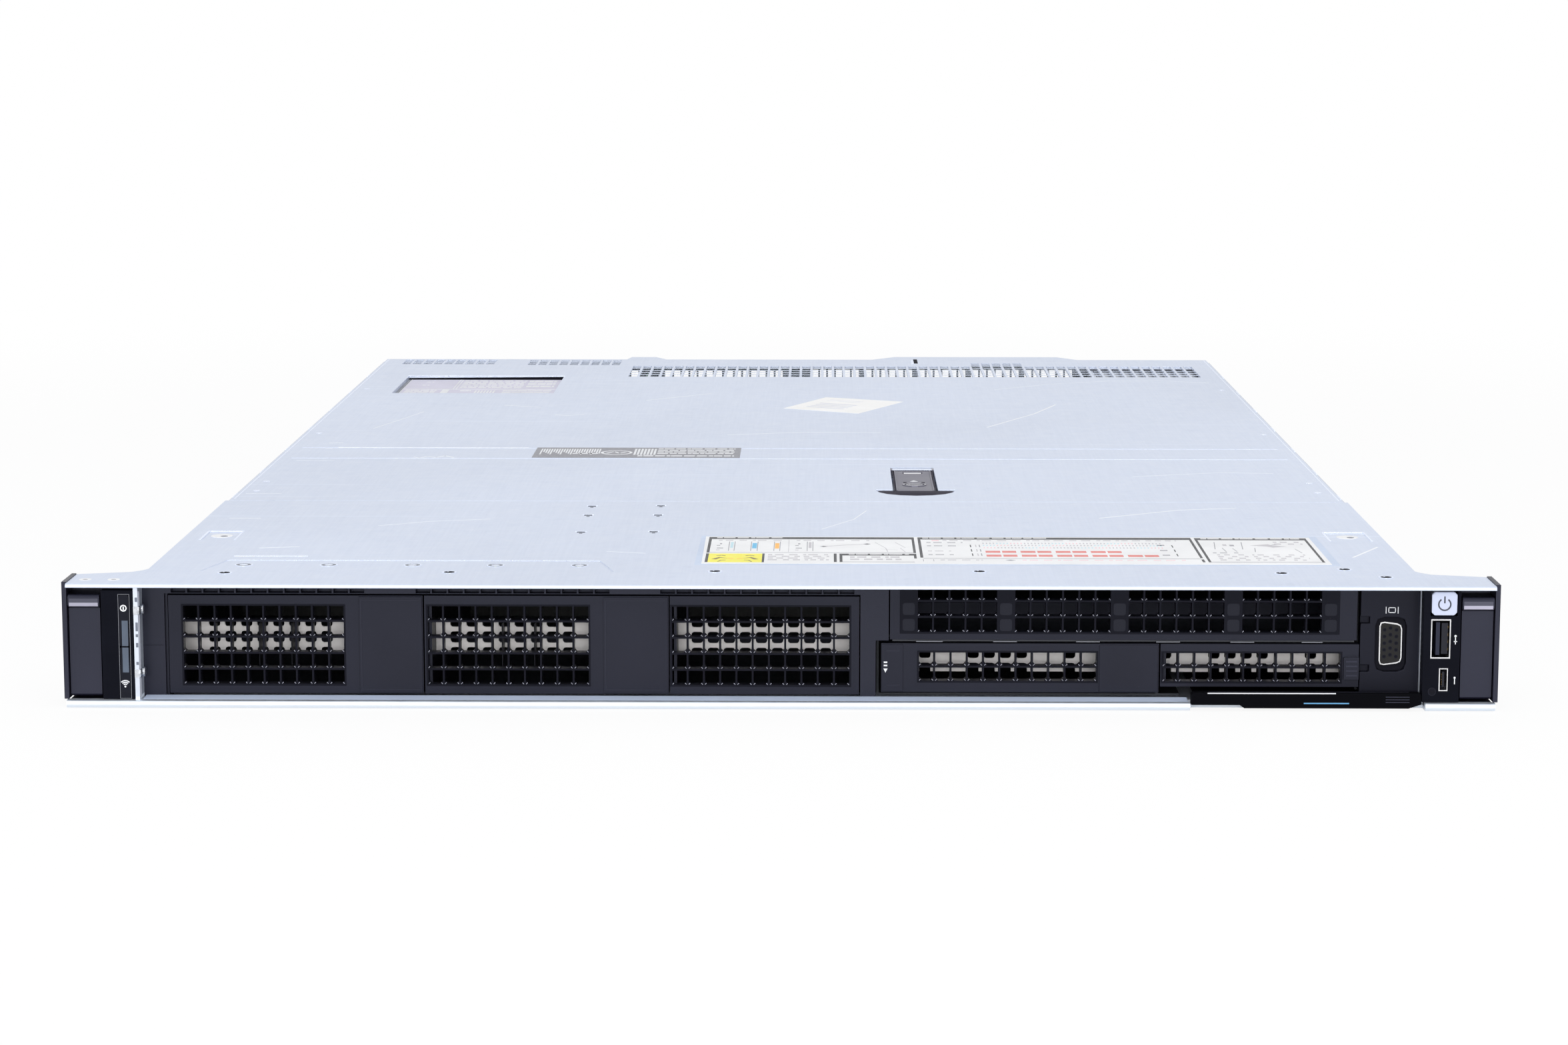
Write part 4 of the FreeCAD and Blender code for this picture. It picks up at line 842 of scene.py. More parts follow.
class Label(Draft):
    """Draft with print on it: print stands on the stock, and raised print on other print."""

    def __init__(self, stock, ink):
        super().__init__()
        self.stock = stock
        self.ink = ink

    def levels(self, raised=False):
        return (self.ink - 0.01, self.ink + 0.02) if raised else (self.stock - 0.01, self.ink)

    def area(self, x0, x1, d0, d1, finish):
        self.block(x0, x1, d0, d1, *self.levels(), finish)

    def shape(self, outline, finish, raised=False):
        self.plan(outline, *self.levels(raised), finish)

    def line(self, points, width, finish, raised=False):
        self.line_up(points, width, *self.levels(raised), finish)

    def bars(self, x0, x1, d0, d1, rows, finish, gap=0.22, raised=False):
        """Plain bars where a label has lines of small print; uneven ends, no letters."""
        step = (d1 - d0) / rows
        for row in range(rows):
            back = d1 - row * step
            x = x0
            k = row * 7 + 3
            while x < x1 - 0.6:
                k = (k * 37 + 11) % 101
                run = min(1.6 + 4.2 * k / 101.0, x1 - x)
                self.block(x, x + run * (1 - gap), back - step * 0.55, back,
                           *self.levels(raised), finish)
                x += run


def label_on(top, sizes):
    """Label whose stock lies on a sheet."""
    stock = top + sizes.label * 1000
    return Label(stock, stock + sizes.print_height * 1000)


LABEL_FINISHES = ("paper", "ink", "yellow_print", "salmon_print", "blue_print", "orange_print",
                  "recess_painted_shade", "faint_ink", "grey_ink", "olive_print", "pink_print", "cyan_print")
PAPER, INK, YELLOW, SALMON, BLUE, ORANGE, RECESS_SHADE, FAINT, GREY, OLIVE, PINK, CYAN = range(12)


class SERVER_OT_service_label(Step, Operator):
    """Service label on the front top panel: ruled boxes, colour blocks and plain bars"""
    bl_idname = "server.service_label"
    bl_label = "Service label"

    def build(self, scene):
        top = box_mm("front_top_panel").z1
        label = label_on(top, scene.rack_server_sizes)
        # Painted shade in a border round the label.
        label.plan(((-30.0, 41.5), (193.2, 41.8), (193.0, 106.2), (-29.5, 106.2)),
                   top - 0.05, top + 0.02, RECESS_SHADE)
        label.plan(((-27.6, 43.8), (190.5, 43.8), (190.3, 104.1), (-27.9, 104.1)),
                   top - 0.05, label.stock, PAPER)
        for bar in ((-26.6, 47.3, 97.9, 102.5), (48.6, 147.3, 97.9, 102.5),
                    (148.5, 188.8, 97.6, 102.0), (20.3, 47.3, 61.7, 65.6),
                    (-26.6, -25.6, 67.4, 97.9), (46.4, 47.3, 67.4, 97.9),
                    (-26.6, -25.6, 46.8, 65.6), (-6.8, -6.0, 46.8, 65.6),
                    (18.3, 19.3, 47.5, 65.6), (20.3, 21.3, 47.5, 61.7),
                    (46.4, 47.3, 55.4, 61.7), (48.6, 49.6, 57.3, 97.9),
                    (146.4, 147.3, 57.3, 97.9), (146.4, 147.3, 48.6, 54.6),
                    (148.5, 149.4, 48.6, 97.6), (187.9, 188.8, 48.6, 97.6)):
            label.area(*bar, INK)
        for title in ((-23.8, 0.6, 98.9, 101.6), (50.4, 96.6, 98.9, 101.6),
                      (150.8, 187.0, 98.5, 101.2), (23.6, 45.0, 62.4, 65.0)):
            label.bars(*title, 1, PAPER, 0.16, raised=True)
        for a, b, depth in ((-25.6, 46.4, 67.4), (49.6, 146.4, 55.3), (149.4, 187.9, 48.6),
                            (21.3, 46.4, 47.5)):
            label.area(a, b, depth, depth + 0.8, GREY)
        for fill in (self.status_box, self.arrow_box, self.table_box, self.drawing_box):
            fill(label)
        label.piece("service_label", LABEL_FINISHES, "front_top_panel")

    def status_box(self, label):
        """Lamp colours in ruled columns, then a long arrow and panel outlines."""
        for a, b in ((-23.0, 2.0), (5.0, 32.0)):
            label.bars(a, b, 93.0, 95.8, 1, FAINT, 0.45)
        for x in (-23.4, 4.6):
            label.area(x + 1.0, x + 1.8, 86.2, 88.4, GREY)
            label.bars(x, x + 2.8, 81.4, 84.0, 1, GREY, 0.5)
            label.area(x + 0.2, x + 2.4, 76.8, 78.4, GREY)
            label.bars(x, x + 2.8, 71.6, 74.0, 1, FAINT, 0.5)
        for x in (-19.0, -17.0, -11.1, -8.8, -2.9, -0.8, 8.9, 10.9):
            label.area(x - 0.14, x + 0.14, 71.4, 92.2, GREY)
        for a, b, c, d, ink in ((-18.5, -17.5, 78.0, 91.0, CYAN), (9.4, 10.4, 78.0, 91.0, FAINT),
                                (-10.7, -9.1, 77.0, 88.8, BLUE), (-2.6, -1.1, 76.6, 88.6, ORANGE),
                                (2.2, 2.4, 69.0, 96.0, FAINT)):
            label.area(a, b, c, d, ink)
        label.line(((14.4, 81.2), (22.0, 84.6), (31.0, 87.0)), 0.9, FAINT)
        for x, depth in ((14.6, 81.4), (30.2, 87.2)):
            label.shape(((x - 1.3, depth), (x, depth + 1.4), (x + 1.5, depth), (x, depth - 1.2)),
                        GREY)
        for points in (((33.2, 91.0), (36.8, 78.0), (37.4, 70.0)), ((40.4, 91.0), (43.8, 79.0)),
                       ((42.0, 78.0), (43.6, 69.5)), ((35.0, 76.0), (41.0, 74.0))):
            label.line(points, 0.3, FAINT)

    def arrow_box(self, label):
        """Yellow block with two curved arrows, and small print beside it."""
        label.area(-25.6, -6.8, 46.6, 65.4, YELLOW)
        for side in (-1, 1):
            def mirrored(*points):
                return [(-16.2 + side * x, depth) for x, depth in points]
            head = mirrored((8.2, 53.2), (5.6, 57.6), (2.6, 55.0), (5.2, 56.0), (6.6, 52.6))
            label.shape(head[::side], OLIVE, True)
            label.line(mirrored((6.6, 60.4), (4.8, 61.6), (3.6, 60.6)), 0.8, OLIVE, True)
            label.line(mirrored((5.9, 47.8), (4.8, 50.8), (3.2, 51.4)), 0.5, OLIVE, True)
            label.line(mirrored((2.6, 55.2), (0.6, 54.0)), 0.7, ORANGE, True)
        label.bars(-4.8, 17.2, 49.5, 64.0, 4, FAINT, 0.4)
        label.bars(24.0, 43.0, 50.0, 59.5, 2, FAINT, 0.35)

    def table_box(self, label):
        """Wide table: small print, faint ticks and two rows of paired bars."""
        label.area(53.6, 56.2, 94.4, 96.6, PINK)
        label.bars(57.5, 142.0, 93.6, 96.4, 1, FAINT, 0.4)
        for end, depth, ink in ((65.0, 89.0, GREY), (63.8, 81.6, GREY), (60.4, 69.9, FAINT),
                                (61.4, 62.0, GREY)):
            label.bars(51.6, end, depth, depth + 2.6, 1, ink, 0.4)
        for x, ink in ((67.1, INK), (139.0, INK), (69.0, FAINT), (70.3, GREY)):
            for depth in (80.6, 70.8, 61.4):
                label.area(x - 0.2, x + 0.2, depth, depth + 5.2, ink)
        for row, depth in enumerate((88.0, 83.4, 78.2)):
            for k in range(52):
                x = 71.6 + 1.24 * k
                ink = (FAINT, CYAN, PINK, FAINT)[(k // 4 + row) % 4]
                label.area(x, x + 0.5, depth, depth + 2.4, ink)
        for row, depth in enumerate((68.3, 59.8)):
            for k in range(4 + row):
                x = 71.9 + 12.4 * k
                label.area(x, x + 5.2, depth, depth + 4.2, SALMON)
                label.area(x + 5.9, x + 10.8, depth, depth + 4.2, SALMON)
        for depth in (84.5, 73.0, 62.6):
            label.area(133.8, 136.4, depth, depth + 2.0, GREY)
        for x in (49.4, 53.0):
            label.area(x, x + 0.2, 49.4, 53.8, GREY)
        label.bars(55.5, 70.6, 50.6, 53.2, 1, FAINT, 0.4)
        label.shape(((78.0, 52.0), (79.8, 53.4), (81.7, 52.0), (79.8, 50.8)), GREY)
        label.bars(84.0, 142.0, 50.8, 53.2, 1, PINK, 0.4)

    def drawing_box(self, label):
        """Faint outline drawing of the cover."""
        for points in (((154.9, 93.0), (153.6, 77.0)), ((164.6, 93.0), (163.4, 77.0)),
                       ((156.4, 80.0), (157.0, 71.0)), ((168.0, 80.0), (167.2, 71.0)),
                       ((182.0, 78.0), (183.4, 69.0)), ((160.0, 79.0), (160.8, 72.0))):
            label.line(points, 0.3, GREY)
        label.shape(((166.8, 85.4), (173.6, 88.4), (175.0, 85.2), (180.0, 83.4), (174.6, 80.8),
                     (172.6, 83.4)), FAINT)
        label.shape(((174.2, 86.2), (175.6, 87.6), (176.8, 86.4)), GREY, True)
        label.area(157.2, 158.6, 84.6, 88.0, FAINT)
        label.area(159.6, 161.2, 84.0, 87.0, GREY)
        label.bars(152.0, 162.4, 67.0, 69.6, 1, GREY, 0.5)
        label.bars(153.0, 185.0, 51.0, 65.6, 4, FAINT, 0.6)
        label.bars(176.0, 187.0, 86.0, 94.0, 2, FAINT, 0.5)


# ---- cover ------------------------------------------------------------------------
class SERVER_OT_cover_labels(Step, Operator):
    """Grey strip label, framed label in the window and white sticker on the cover"""
    bl_idname = "server.cover_labels"
    bl_label = "Labels of the cover"

    def build(self, scene):
        top = box_mm("top_cover").z1
        strip = label_on(top, scene.rack_server_sizes)
        strip.block(-108.3, -20.7, 316.2, 348.0, top - 0.05, strip.stock)
        for k in range(24):
            x = -106.0 + 1.08 * k
            strip.area(x, x + 0.65, 326.0 + 2.5 * ((k * 7) % 4), 343.5, 1)
        strip.bars(-92.0, -80.5, 325.5, 330.5, 1, 1, 0.1)
        strip.top_ring(-73.4, 332.0, 6.8, 5.6, *strip.levels(), 1)
        strip.line(((-77.5, 330.0), (-74.5, 335.0), (-72.0, 330.0), (-69.5, 334.0)), 1.2, 1)
        for k in range(7):
            x = -66.0 + 1.4 * k
            strip.area(x, x + 0.9, 325.0, 344.0, 1)
        strip.bars(-56.0, -23.0, 326.0, 345.5, 4, 1, 0.16)
        strip.bars(-64.0, -23.0, 318.0, 323.5, 1, 1, 0.16)
        strip.piece("cover_strip_label", ("dark_label", "white_print"), "top_cover")
        self.window(top)
        self.sticker(top, label_on(top, scene.rack_server_sizes))

    def sticker(self, top, sticker):
        """White sticker that lies askew, with faint rows on it."""
        corners = ((-4.1, 489.4), (30.7, 469.6), (52.5, 515.6), (15.7, 533.2))
        sticker.plan(corners, top - 0.05, sticker.stock)
        origin = Vector(corners[0])
        along = (Vector(corners[1]) - origin) / 40.0
        back = (Vector(corners[3]) - origin) / 48.0
        rows = [(7.0, 27.0, 10 + 5 * k, 12.4 + 5 * k) for k in range(4)]
        rows += [(6.0, 24.0, v, v + 1.0) for v in (36.0, 40.0)]
        for u0, u1, v0, v1 in rows:
            sticker.shape([tuple(origin + along * u + back * v)
                           for u, v in ((u0, v0), (u1, v0), (u1, v1), (u0, v1))], 1)
        sticker.piece("cover_white_sticker", ("sticker_white", "sticker_mark"), "top_cover")

    def window(self, top):
        """Label that lies in the shallow window, under a painted shadow line and a painted
        highlight on the rim.
        """
        x0, x1, d0, d1, floor = -195.0, -116.5, 549.0, 622.0, top - 1.6
        label = Label(floor + 0.11, floor + 0.18)
        label.block(x0 + 2.4, x1 - 0.2, d0 + 0.3, d1 - 3.5, floor - 0.05, floor + 0.12)
        for a, b, c, d in ((x0 + 2.0, x0 + 2.4, d0 + 0.3, d1 - 3.5),
                           (x0 + 2.6, x1 - 1.0, 576.4, 577.6), (-168.4, -167.9, 578.5, d1 - 4.0),
                           (-167.0, -166.5, 578.5, d1 - 4.0), (-173.0, -169.6, 551.0, 575.5)):
            label.area(a, b, c, d, 1)
        for a, b, c, d, rows, gap in ((-184.0, -180.0, 606.0, 609.0, 1, 0.4),
                                      (-185.0, -181.0, 592.0, 595.0, 1, 0.4),
                                      (-165.5, -134.0, 580.0, 615.0, 6, 0.2),
                                      (-133.0, -119.0, 582.0, 614.0, 3, 0.1),
                                      (-191.0, -175.5, 552.0, 574.5, 4, 0.15),
                                      (-164.0, -158.5, 567.0, 573.5, 2, 0.1),
                                      (-143.0, -119.0, 553.0, 573.0, 3, 0.05)):
            label.bars(a, b, c, d, rows, 1, gap)
        for k in range(7):
            x = -156.5 + 1.5 * k
            label.area(x, x + 0.8, 553.0, 572.0, 1)
        label.piece("cover_window_label", ("window_label", "white_print"), "top_cover")
        rim = Draft()
        # Painted highlight on the far rim, painted shadow on the label's far edge and the wall
        # under the rim, and a painted shadow strip along the left side.
        rim.block(x0 - 0.4, x1 + 0.4, d1, d1 + 2.4, top - 0.1, top + 0.1, 0)
        rim.block(x0 + 0.3, x1 - 0.3, d1 - 3.4, d1 - 0.1, floor - 0.05, floor + 0.14, 1)
        rim.face_on(((x0 + 0.2, floor + 0.1), (x1 - 0.2, floor + 0.1), (x1 - 0.2, top - 0.35),
                     (x0 + 0.2, floor + 0.6)), d1 - 0.12, d1 + 0.02, 1)
        rim.block(x0 + 0.1, x0 + 1.8, d0 + 0.2, d1 - 0.2, floor - 0.05, floor + 0.14, 2)
        rim.piece("cover_window_rim", ("sheet_bright_and_highlight", "dark_hole", "mark_shadow"), "top_cover")


class SERVER_OT_cover_vents(Step, Operator):
    """Cross bars that divide the long vent slots into rows of small holes"""
    bl_idname = "server.cover_vents"
    bl_label = "Vent bars of the cover"

    def build(self, scene):
        sizes = scene.rack_server_sizes
        top = box_mm("top_cover").z1
        half = sizes.vent_bar * 500
        places = [(90.5, 119.0, depth) for depth in (670.8, 676.2, 681.6)]
        for x0, x1, front, rear, rows in ((-84.5, 206.0, 621.6, 670.4, sizes.vent_rows),
                                          (-205.5, -156.5, 678.1, 699.4, 4),
                                          (-139.9, -90.9, 675.6, 697.4, 4)):
            places += [(x0, x1, front + (rear - front) * k / rows) for k in range(1, rows)]
        bars = Draft()
        for x0, x1, depth in places:
            bars.block(x0, x1, depth - half, depth + half, top - 0.28, top - 0.06)
        bars.piece("cover_vent_bars", ("cover_sheet",), "top_cover")


class SERVER_OT_cover_latch(Step, Operator):
    """Thumb end, ridges, hinge brackets and lock ring of the cover latch, with painted shade in the
    thumb recess and the gaps, and a painted highlight on the hinge bar
    """
    bl_idname = "server.cover_latch"
    bl_label = "Cover latch"

    def build(self, scene):
        box = box_mm("latch_lever")
        cx, front, rear, top = box.cx, box.d0, box.d1, box.z1
        lock = box_mm("latch_lock").cd
        # The thumb end is black plastic and also painted shade of the finger recess in front of it.
        thumb = Draft()
        turns = [math.pi * i / 16 for i in range(17)]
        thumb.plan([(cx - (box.x1 - box.x0) * 0.487 * math.cos(turn),
                     front + 13.0 - 12.6 * math.sin(turn))
                    for turn in turns], top - 0.3, top + 0.1)
        for half, depth in ((6.0, front + 3.2), (8.0, front + 5.6)):
            thumb.block(cx - half, cx + half, depth, depth + 0.8, top, top + 0.16)
        thumb.piece("latch_thumb_pad", ("lever_black_and_shade",), "latch_lever", 0.00008)
        lever = Draft()
        plate = top - 0.2
        low = plate - SINK
        # Ridges, with dark lines as painted shade in the gaps beside them.
        for side in (-1, 1):
            for x, half, near, far, rise, finish in (
                    (7.2, 0.3, front + 14.0, rear - 6.0, 0.3, 0),
                    (8.0, 0.3, front + 14.0, rear - 6.0, 0.05, 4),
                    (3.6, 0.7, lock + 5.0, lock + 7.0, 0.12, 4)):
                x = cx + side * x
                lever.block(x - half, x + half, near, far, low, plate + rise, finish)
        # Painted highlight on the hinge bar, and painted shade in the gap in front of it.
        lever.block(cx - 8.6, cx + 8.6, rear - 3.4, rear - 0.4, low, plate + 0.28, 5)
        lever.block(cx - 8.6, cx + 8.6, rear - 4.8, rear - 3.4, low, plate + 0.1, 4)
        lever.block(cx - 3.6, cx + 3.6, rear - 14.0, rear - 8.2, plate - 0.6, plate - 0.2, 1)
        lever.top_ring(cx, lock, 4.9, 4.0, low, plate + 0.25, 2)
        lever.plan(((cx - 1.6, lock + 9.0), (cx + 1.6, lock + 9.0), (cx, lock + 12.0)), low,
                   plate + 0.08, 3)
        lever.piece("latch_lever_ridges", ("lever", "paper", "lock", "white_print", "lever_black_and_shade",
                                           "sheet_bright_and_highlight"), "latch_lever", 0.00006)
        brackets = Draft()
        tray = box_mm("top_cover").z1
        for x in (cx - 8.6, cx + 8.6):
            brackets.block(x - 0.5, x + 0.5, rear - 4.0, rear + 0.6, 38.2, tray - 0.1)
        brackets.top_ring(cx, lock, 4.6, 3.9, 38.0, 38.6, 1)
        brackets.piece("latch_hinge_brackets", ("lock", "lever_black_and_shade"), "top_cover", 0.00006)


class SERVER_OT_cover_marks(Step, Operator):
    """Hook slot, corner reliefs and shallow ribs of the cover, and painted highlights along the
    side edges
    """
    bl_idname = "server.cover_marks"
    bl_label = "Marks of the cover"

    def build(self, scene):
        x0, x1, front, rear, _, top = box_mm("top_cover")
        low = top - SINK
        marks = Draft()
        marks.block(61.6, 63.6, rear - 32.0, rear - 12.0, low, top + 0.03, 1)
        marks.block(60.2, 61.4, rear - 34.0, rear - 16.0, low, top + 0.1)
        for side in (-1, 1):
            edge = side * (x1 - 1.4)
            # Painted highlight along the folded side edges.
            marks.block(edge - 0.25, edge + 0.25, front + 4, rear - 16, low, top + 0.015)
            for depth in (218.0, 244.0, 396.0, 566.0):
                marks.disc_up(side * (x1 - 6.5), depth, 1.5, low, top + 0.05)
        for depth in (313.0, 346.0):
            marks.block(x0 + 12, x1 - 14, depth, depth + 0.3, low, top + 0.012)
        marks.piece("cover_press_marks", ("sheet_bright_and_highlight", "dark_hole"), "top_cover")


# ---- drive bay ----------------------------------------------------------------------
CELL = 5.5
# Node, left edge, columns, lower edge, rows, and the pitch of the cells across and up.
GRILLES = (("drive_blank_1", -202.1, 10, 6.2, 5, CELL, CELL),
           ("drive_blank_2", -119.3, 10, 6.2, 5, CELL, CELL),
           ("drive_blank_3", -36.7, 11, 6.2, 5, CELL, CELL),
           ("drive_blank_4", 46.7, 11, 7.8, 2, CELL, 5.2),
           ("drive_blank_5", 129.0, 11, 7.8, 2, CELL, 5.2),
           ("wide_upper_filler", 40.75, 27, 24.6, 3, 5.467, 5.467))
CLOSED_COLUMNS = (1, 7, 14, 21, 27)


class SERVER_OT_grilles(Step, Operator):
    """Rib fronts darkened as painted shade, chamfered lower corners with painted glints on their
    edges, and the filler's pockets in painted shade
    """
    bl_idname = "server.grilles"
    bl_label = "Grille cells"

    RIB, POCKET, GLINT = range(3)
    HALF_RIB, HALF_GAP = 0.31, 0.3

    def build(self, scene):
        for node, x_start, columns, z_start, rows, step_x, step_z in GRILLES:
            draft = Draft()
            x_end = x_start + columns * step_x
            z_end = min(z_start + rows * step_z, box_mm(node).z1 - 0.1)
            # Rib fronts in a darker colour, as painted shade over the grille plastic.
            for j in range(rows + 1):
                z = z_start + j * step_z
                if z < z_end + 0.1:
                    draft.proud(BAY_FACE, x_start - 0.3, x_end + 0.3, z - self.HALF_RIB,
                                z + self.HALF_RIB, 0.05, self.RIB, 0.3)
            for i in range(columns + 1):
                x = x_start + i * step_x
                draft.proud(BAY_FACE, x - self.HALF_RIB, x + self.HALF_RIB, z_start - 0.3, z_end,
                            0.06, self.RIB, 0.3)
            for i in range(columns):
                a = x_start + i * step_x + self.HALF_GAP
                b = x_start + (i + 1) * step_x - self.HALF_GAP
                for j in range(rows):
                    low = z_start + j * step_z + self.HALF_GAP
                    high = min(low + step_z - 0.6, z_end)
                    # Closed cells of the filler: a dark front and a rounded pocket, both as painted
                    # shade.
                    if node == "wide_upper_filler" and i + 1 in CLOSED_COLUMNS:
                        draft.proud(BAY_FACE, a, b, low, high, 0.05, self.RIB)
                        if j < 2:
                            draft.face_on(rounded_box(a + 0.4, b - 0.4, low + 0.4, high - 0.4, 0.8),
                                          BAY_FACE - 0.07, BAY_FACE + 0.1, self.POCKET)
                    else:
                        self.corners(draft, a, b, low)
            draft.piece(node + "_rib_fronts", ("rib_painted_shade", "pocket_painted_shade", "rib_glint"), node)

    def corners(self, draft, a, b, low):
        """Chamfers in the lower corners of an open cell, in painted shade, each with a painted
        glint along its edge.
        """
        for x, side in ((a, 1), (b, -1)):
            draft.face_on(((x, low), (x + side * 1.0, low), (x, low + 1.0)), BAY_FACE + 0.4,
                          BAY_FACE + 3.2, self.RIB)
            # Painted glint: a bright strip along the chamfer's edge.
            draft.face_on(((x, low + 0.12), (x + side * 0.12, low), (x + side * 0.62, low + 0.5),
                           (x + side * 0.5, low + 0.62)), BAY_FACE + 0.34, BAY_FACE + 0.5,
                           self.GLINT)


def arc(cx, cz, radius, start):
    """Quarter circle of five points, clockwise from a start angle in degrees."""
    turns = [math.radians(start - 22.5 * k) for k in range(5)]
    return [(cx + radius * math.cos(turn), cz + radius * math.sin(turn)) for turn in turns]


def open_cell(xa, xb, za, zb, ha, hb, floor, radius, upside_down=False):
    """Outline of sheet round a notch, open at the top, or at the bottom if upside_down."""
    notch = arc(hb - radius, floor + radius, radius, 0.0) + arc(ha + radius, floor + radius,
                                                                radius, -90.0)
    outline = [(xa, zb), (xa, za), (xb, za), (xb, zb), (hb, zb), *notch, (ha, zb)]
    if upside_down:
        outline = [(x, za + zb - z) for x, z in outline]
    return outline


def half_cell(xa, xm, za, zb, ha, low, high, radius):
    """Outline of the sheet on one side of a closed hole, up to the hole's centre line."""
    side = radius if ha < xm else -radius
    turns = [math.radians(22.5 * k) for k in range(5)]
    lower = [(ha + side * (1 - math.sin(t)), low + radius * (1 - math.cos(t))) for t in turns]
    upper = [(ha + side * (1 - math.cos(t)), high - radius * (1 - math.sin(t))) for t in turns]
    return [(xm, za), (xm, low), *lower, *upper, (xm, high), (xm, zb), (xa, zb), (xa, za)]


class SERVER_OT_screens(Step, Operator):
    """Perforated bright screens behind the grilles, and the stiffening ribs in front of them"""
    bl_idname = "server.screens"
    bl_label = "Screens behind the grilles"

    HOLE, CORNER, SHEET, WEB = 3.9, 1.0, 0.8, 0.8

    def build(self, scene):
        for index, (_, x_start, columns, *_) in enumerate(GRILLES[:5]):
            self.screen("blank_screen_%d" % (index + 1), x_start, columns, index < 3)
        for node, x_start, *_ in GRILLES[:2]:
            draft = Draft()
            box = box_mm(node)
            for column in (5, 7):
                x = x_start + (column - 0.5) * CELL
                draft.block(x - 0.2, x + 0.2, 18.0, 25.8, box.z0 + 8.0, box.z1 - 11.0)
            draft.piece(node + "_back_ribs", ("black_plastic",), node, 0.0001)

    def screen(self, name, x_start, columns, tall):
        """Tall screens have a row of holes between two rows of notches, low ones only notches."""
        x0, x1, d0, d1, z0, z1 = box_mm(name)
        if tall:
            solid, drop, low_bar, high_bar = (0, columns - 1), 0.85, 17.95, 23.45
            z0, z1 = z0 - drop, z1 - drop
        else:
            solid, drop, low_bar, high_bar = (1, 2, 7, 8, 10), 0.3, 12.4, 12.4
            z0 += 0.9
        low_bar, high_bar = low_bar - drop, high_bar - drop
        draft = Draft()
        back = d0 + self.SHEET
        draft.block(x0, x_start, d0, back, z0, z1)
        draft.block(x_start + columns * CELL, x1, d0, back, z0, z1)
        draft.block(x0, x0 + self.SHEET, back, d1, z0, z1)
        draft.block(x1 - self.SHEET, x1, back, d1, z0, z1)
        for i in range(columns):
            xa, xb = x_start + CELL * i, x_start + CELL * (i + 1)
            if i in solid:
                draft.block(xa, xb, d0, back, z0, z1)
                continue
            xm = (xa + xb) / 2
            ha, hb = xm - self.HOLE / 2, xm + self.HOLE / 2
            draft.face_on(open_cell(xa, xb, high_bar, z1, ha, hb, high_bar + self.WEB, self.CORNER),
                          d0, back)
            if tall:
                for near, far in ((xa, ha), (xb, hb)):
                    draft.face_on(half_cell(near, xm, low_bar, high_bar, far, low_bar + self.WEB,
                                            high_bar - self.WEB, self.CORNER), d0, back)
            draft.face_on(open_cell(xa, xb, z0, low_bar, ha, hb, z0 + self.WEB, self.CORNER, True),
                          d0, back)
        piece = draft.piece(name + "_sheet", ("screen",), name)
        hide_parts(name)


class SERVER_OT_bay_trim(Step, Operator):
    """Grip recesses, arrow mark and step lines on the bay faces, and painted glints in the seam
    under the filler
    """
    bl_idname = "server.bay_trim"
    bl_label = "Bay trim"

    def build(self, scene):
        for node, a, b in (("drive_blank_1", -142.2, -120.9), ("drive_blank_2", -59.6, -37.8)):
            box = box_mm(node)
            panel = Draft()
            for x0, x1, z0, z1 in ((a + 0.9, b - 0.9, box.z0 + 1.3, box.z0 + 1.7),
                                   (a + 0.9, b - 0.9, box.z1 - 1.7, box.z1 - 1.3),
                                   (a + 0.5, a + 0.9, box.z0 + 1.3, box.z1 - 1.3)):
                panel.proud(box.d0, x0, x1, z0, z1, 0.12, 0, 0.3)
            panel.piece(node + "_panel_lines", ("bay_plastic",), node)
        x0, _, front, _, z0, z1 = box_mm("drive_blank_4")
        grip = Draft()
        for z in (z0 + 2.2, z1 - 2.7):
            grip.proud(front, x0 + 1.8, x0 + 6.4, z, z + 0.5, 0.1, 0, 0.3)
        grip.face_on(((x0 + 0.8, 12.4), (x0 + 2.2, 12.4), (x0 + 1.5, 11.0)), front - 0.06,
                     front + 0.2, 1)
        for z in (13.2, 14.3):
            grip.proud(front, x0 + 0.9, x0 + 2.1, z, z + 0.5, 0.06, 1)
        grip.piece("small_blank_mark", ("bay_plastic", "white_print"), "drive_blank_4")
        front = box_mm("drive_blank_5").d0
        clip = Draft()
        for k in range(4):
            z = 10.2 + 1.6 * k
            clip.proud(front, 190.9, 194.7, z, z + 0.6, 0.12)
        clip.piece("small_blank_clip_ridges", ("ear_plastic",), "drive_blank_5")
        # Painted glints: short bright dashes in the seam under the filler.
        glints = Draft()
        for a, b in ((46.0, 55.0), (72.0, 80.0), (100.0, 108.0), (127.0, 135.0), (152.0, 160.0),
                     (176.0, 183.0)):
            glints.proud(BAY_FACE, a, b, 21.55, 21.8, 0.1, 0, 0.4)
        glints.piece("bay_seam_glints", ("grey_print",), "wide_upper_filler")
        column = Draft()
        column.proud(BAY_FACE, -214.6, -208.6, 19.6, 20.0, 0.1)
        column.piece("bay_column_pins", ("rib_plastic",), "bay_frame", 0.00005)


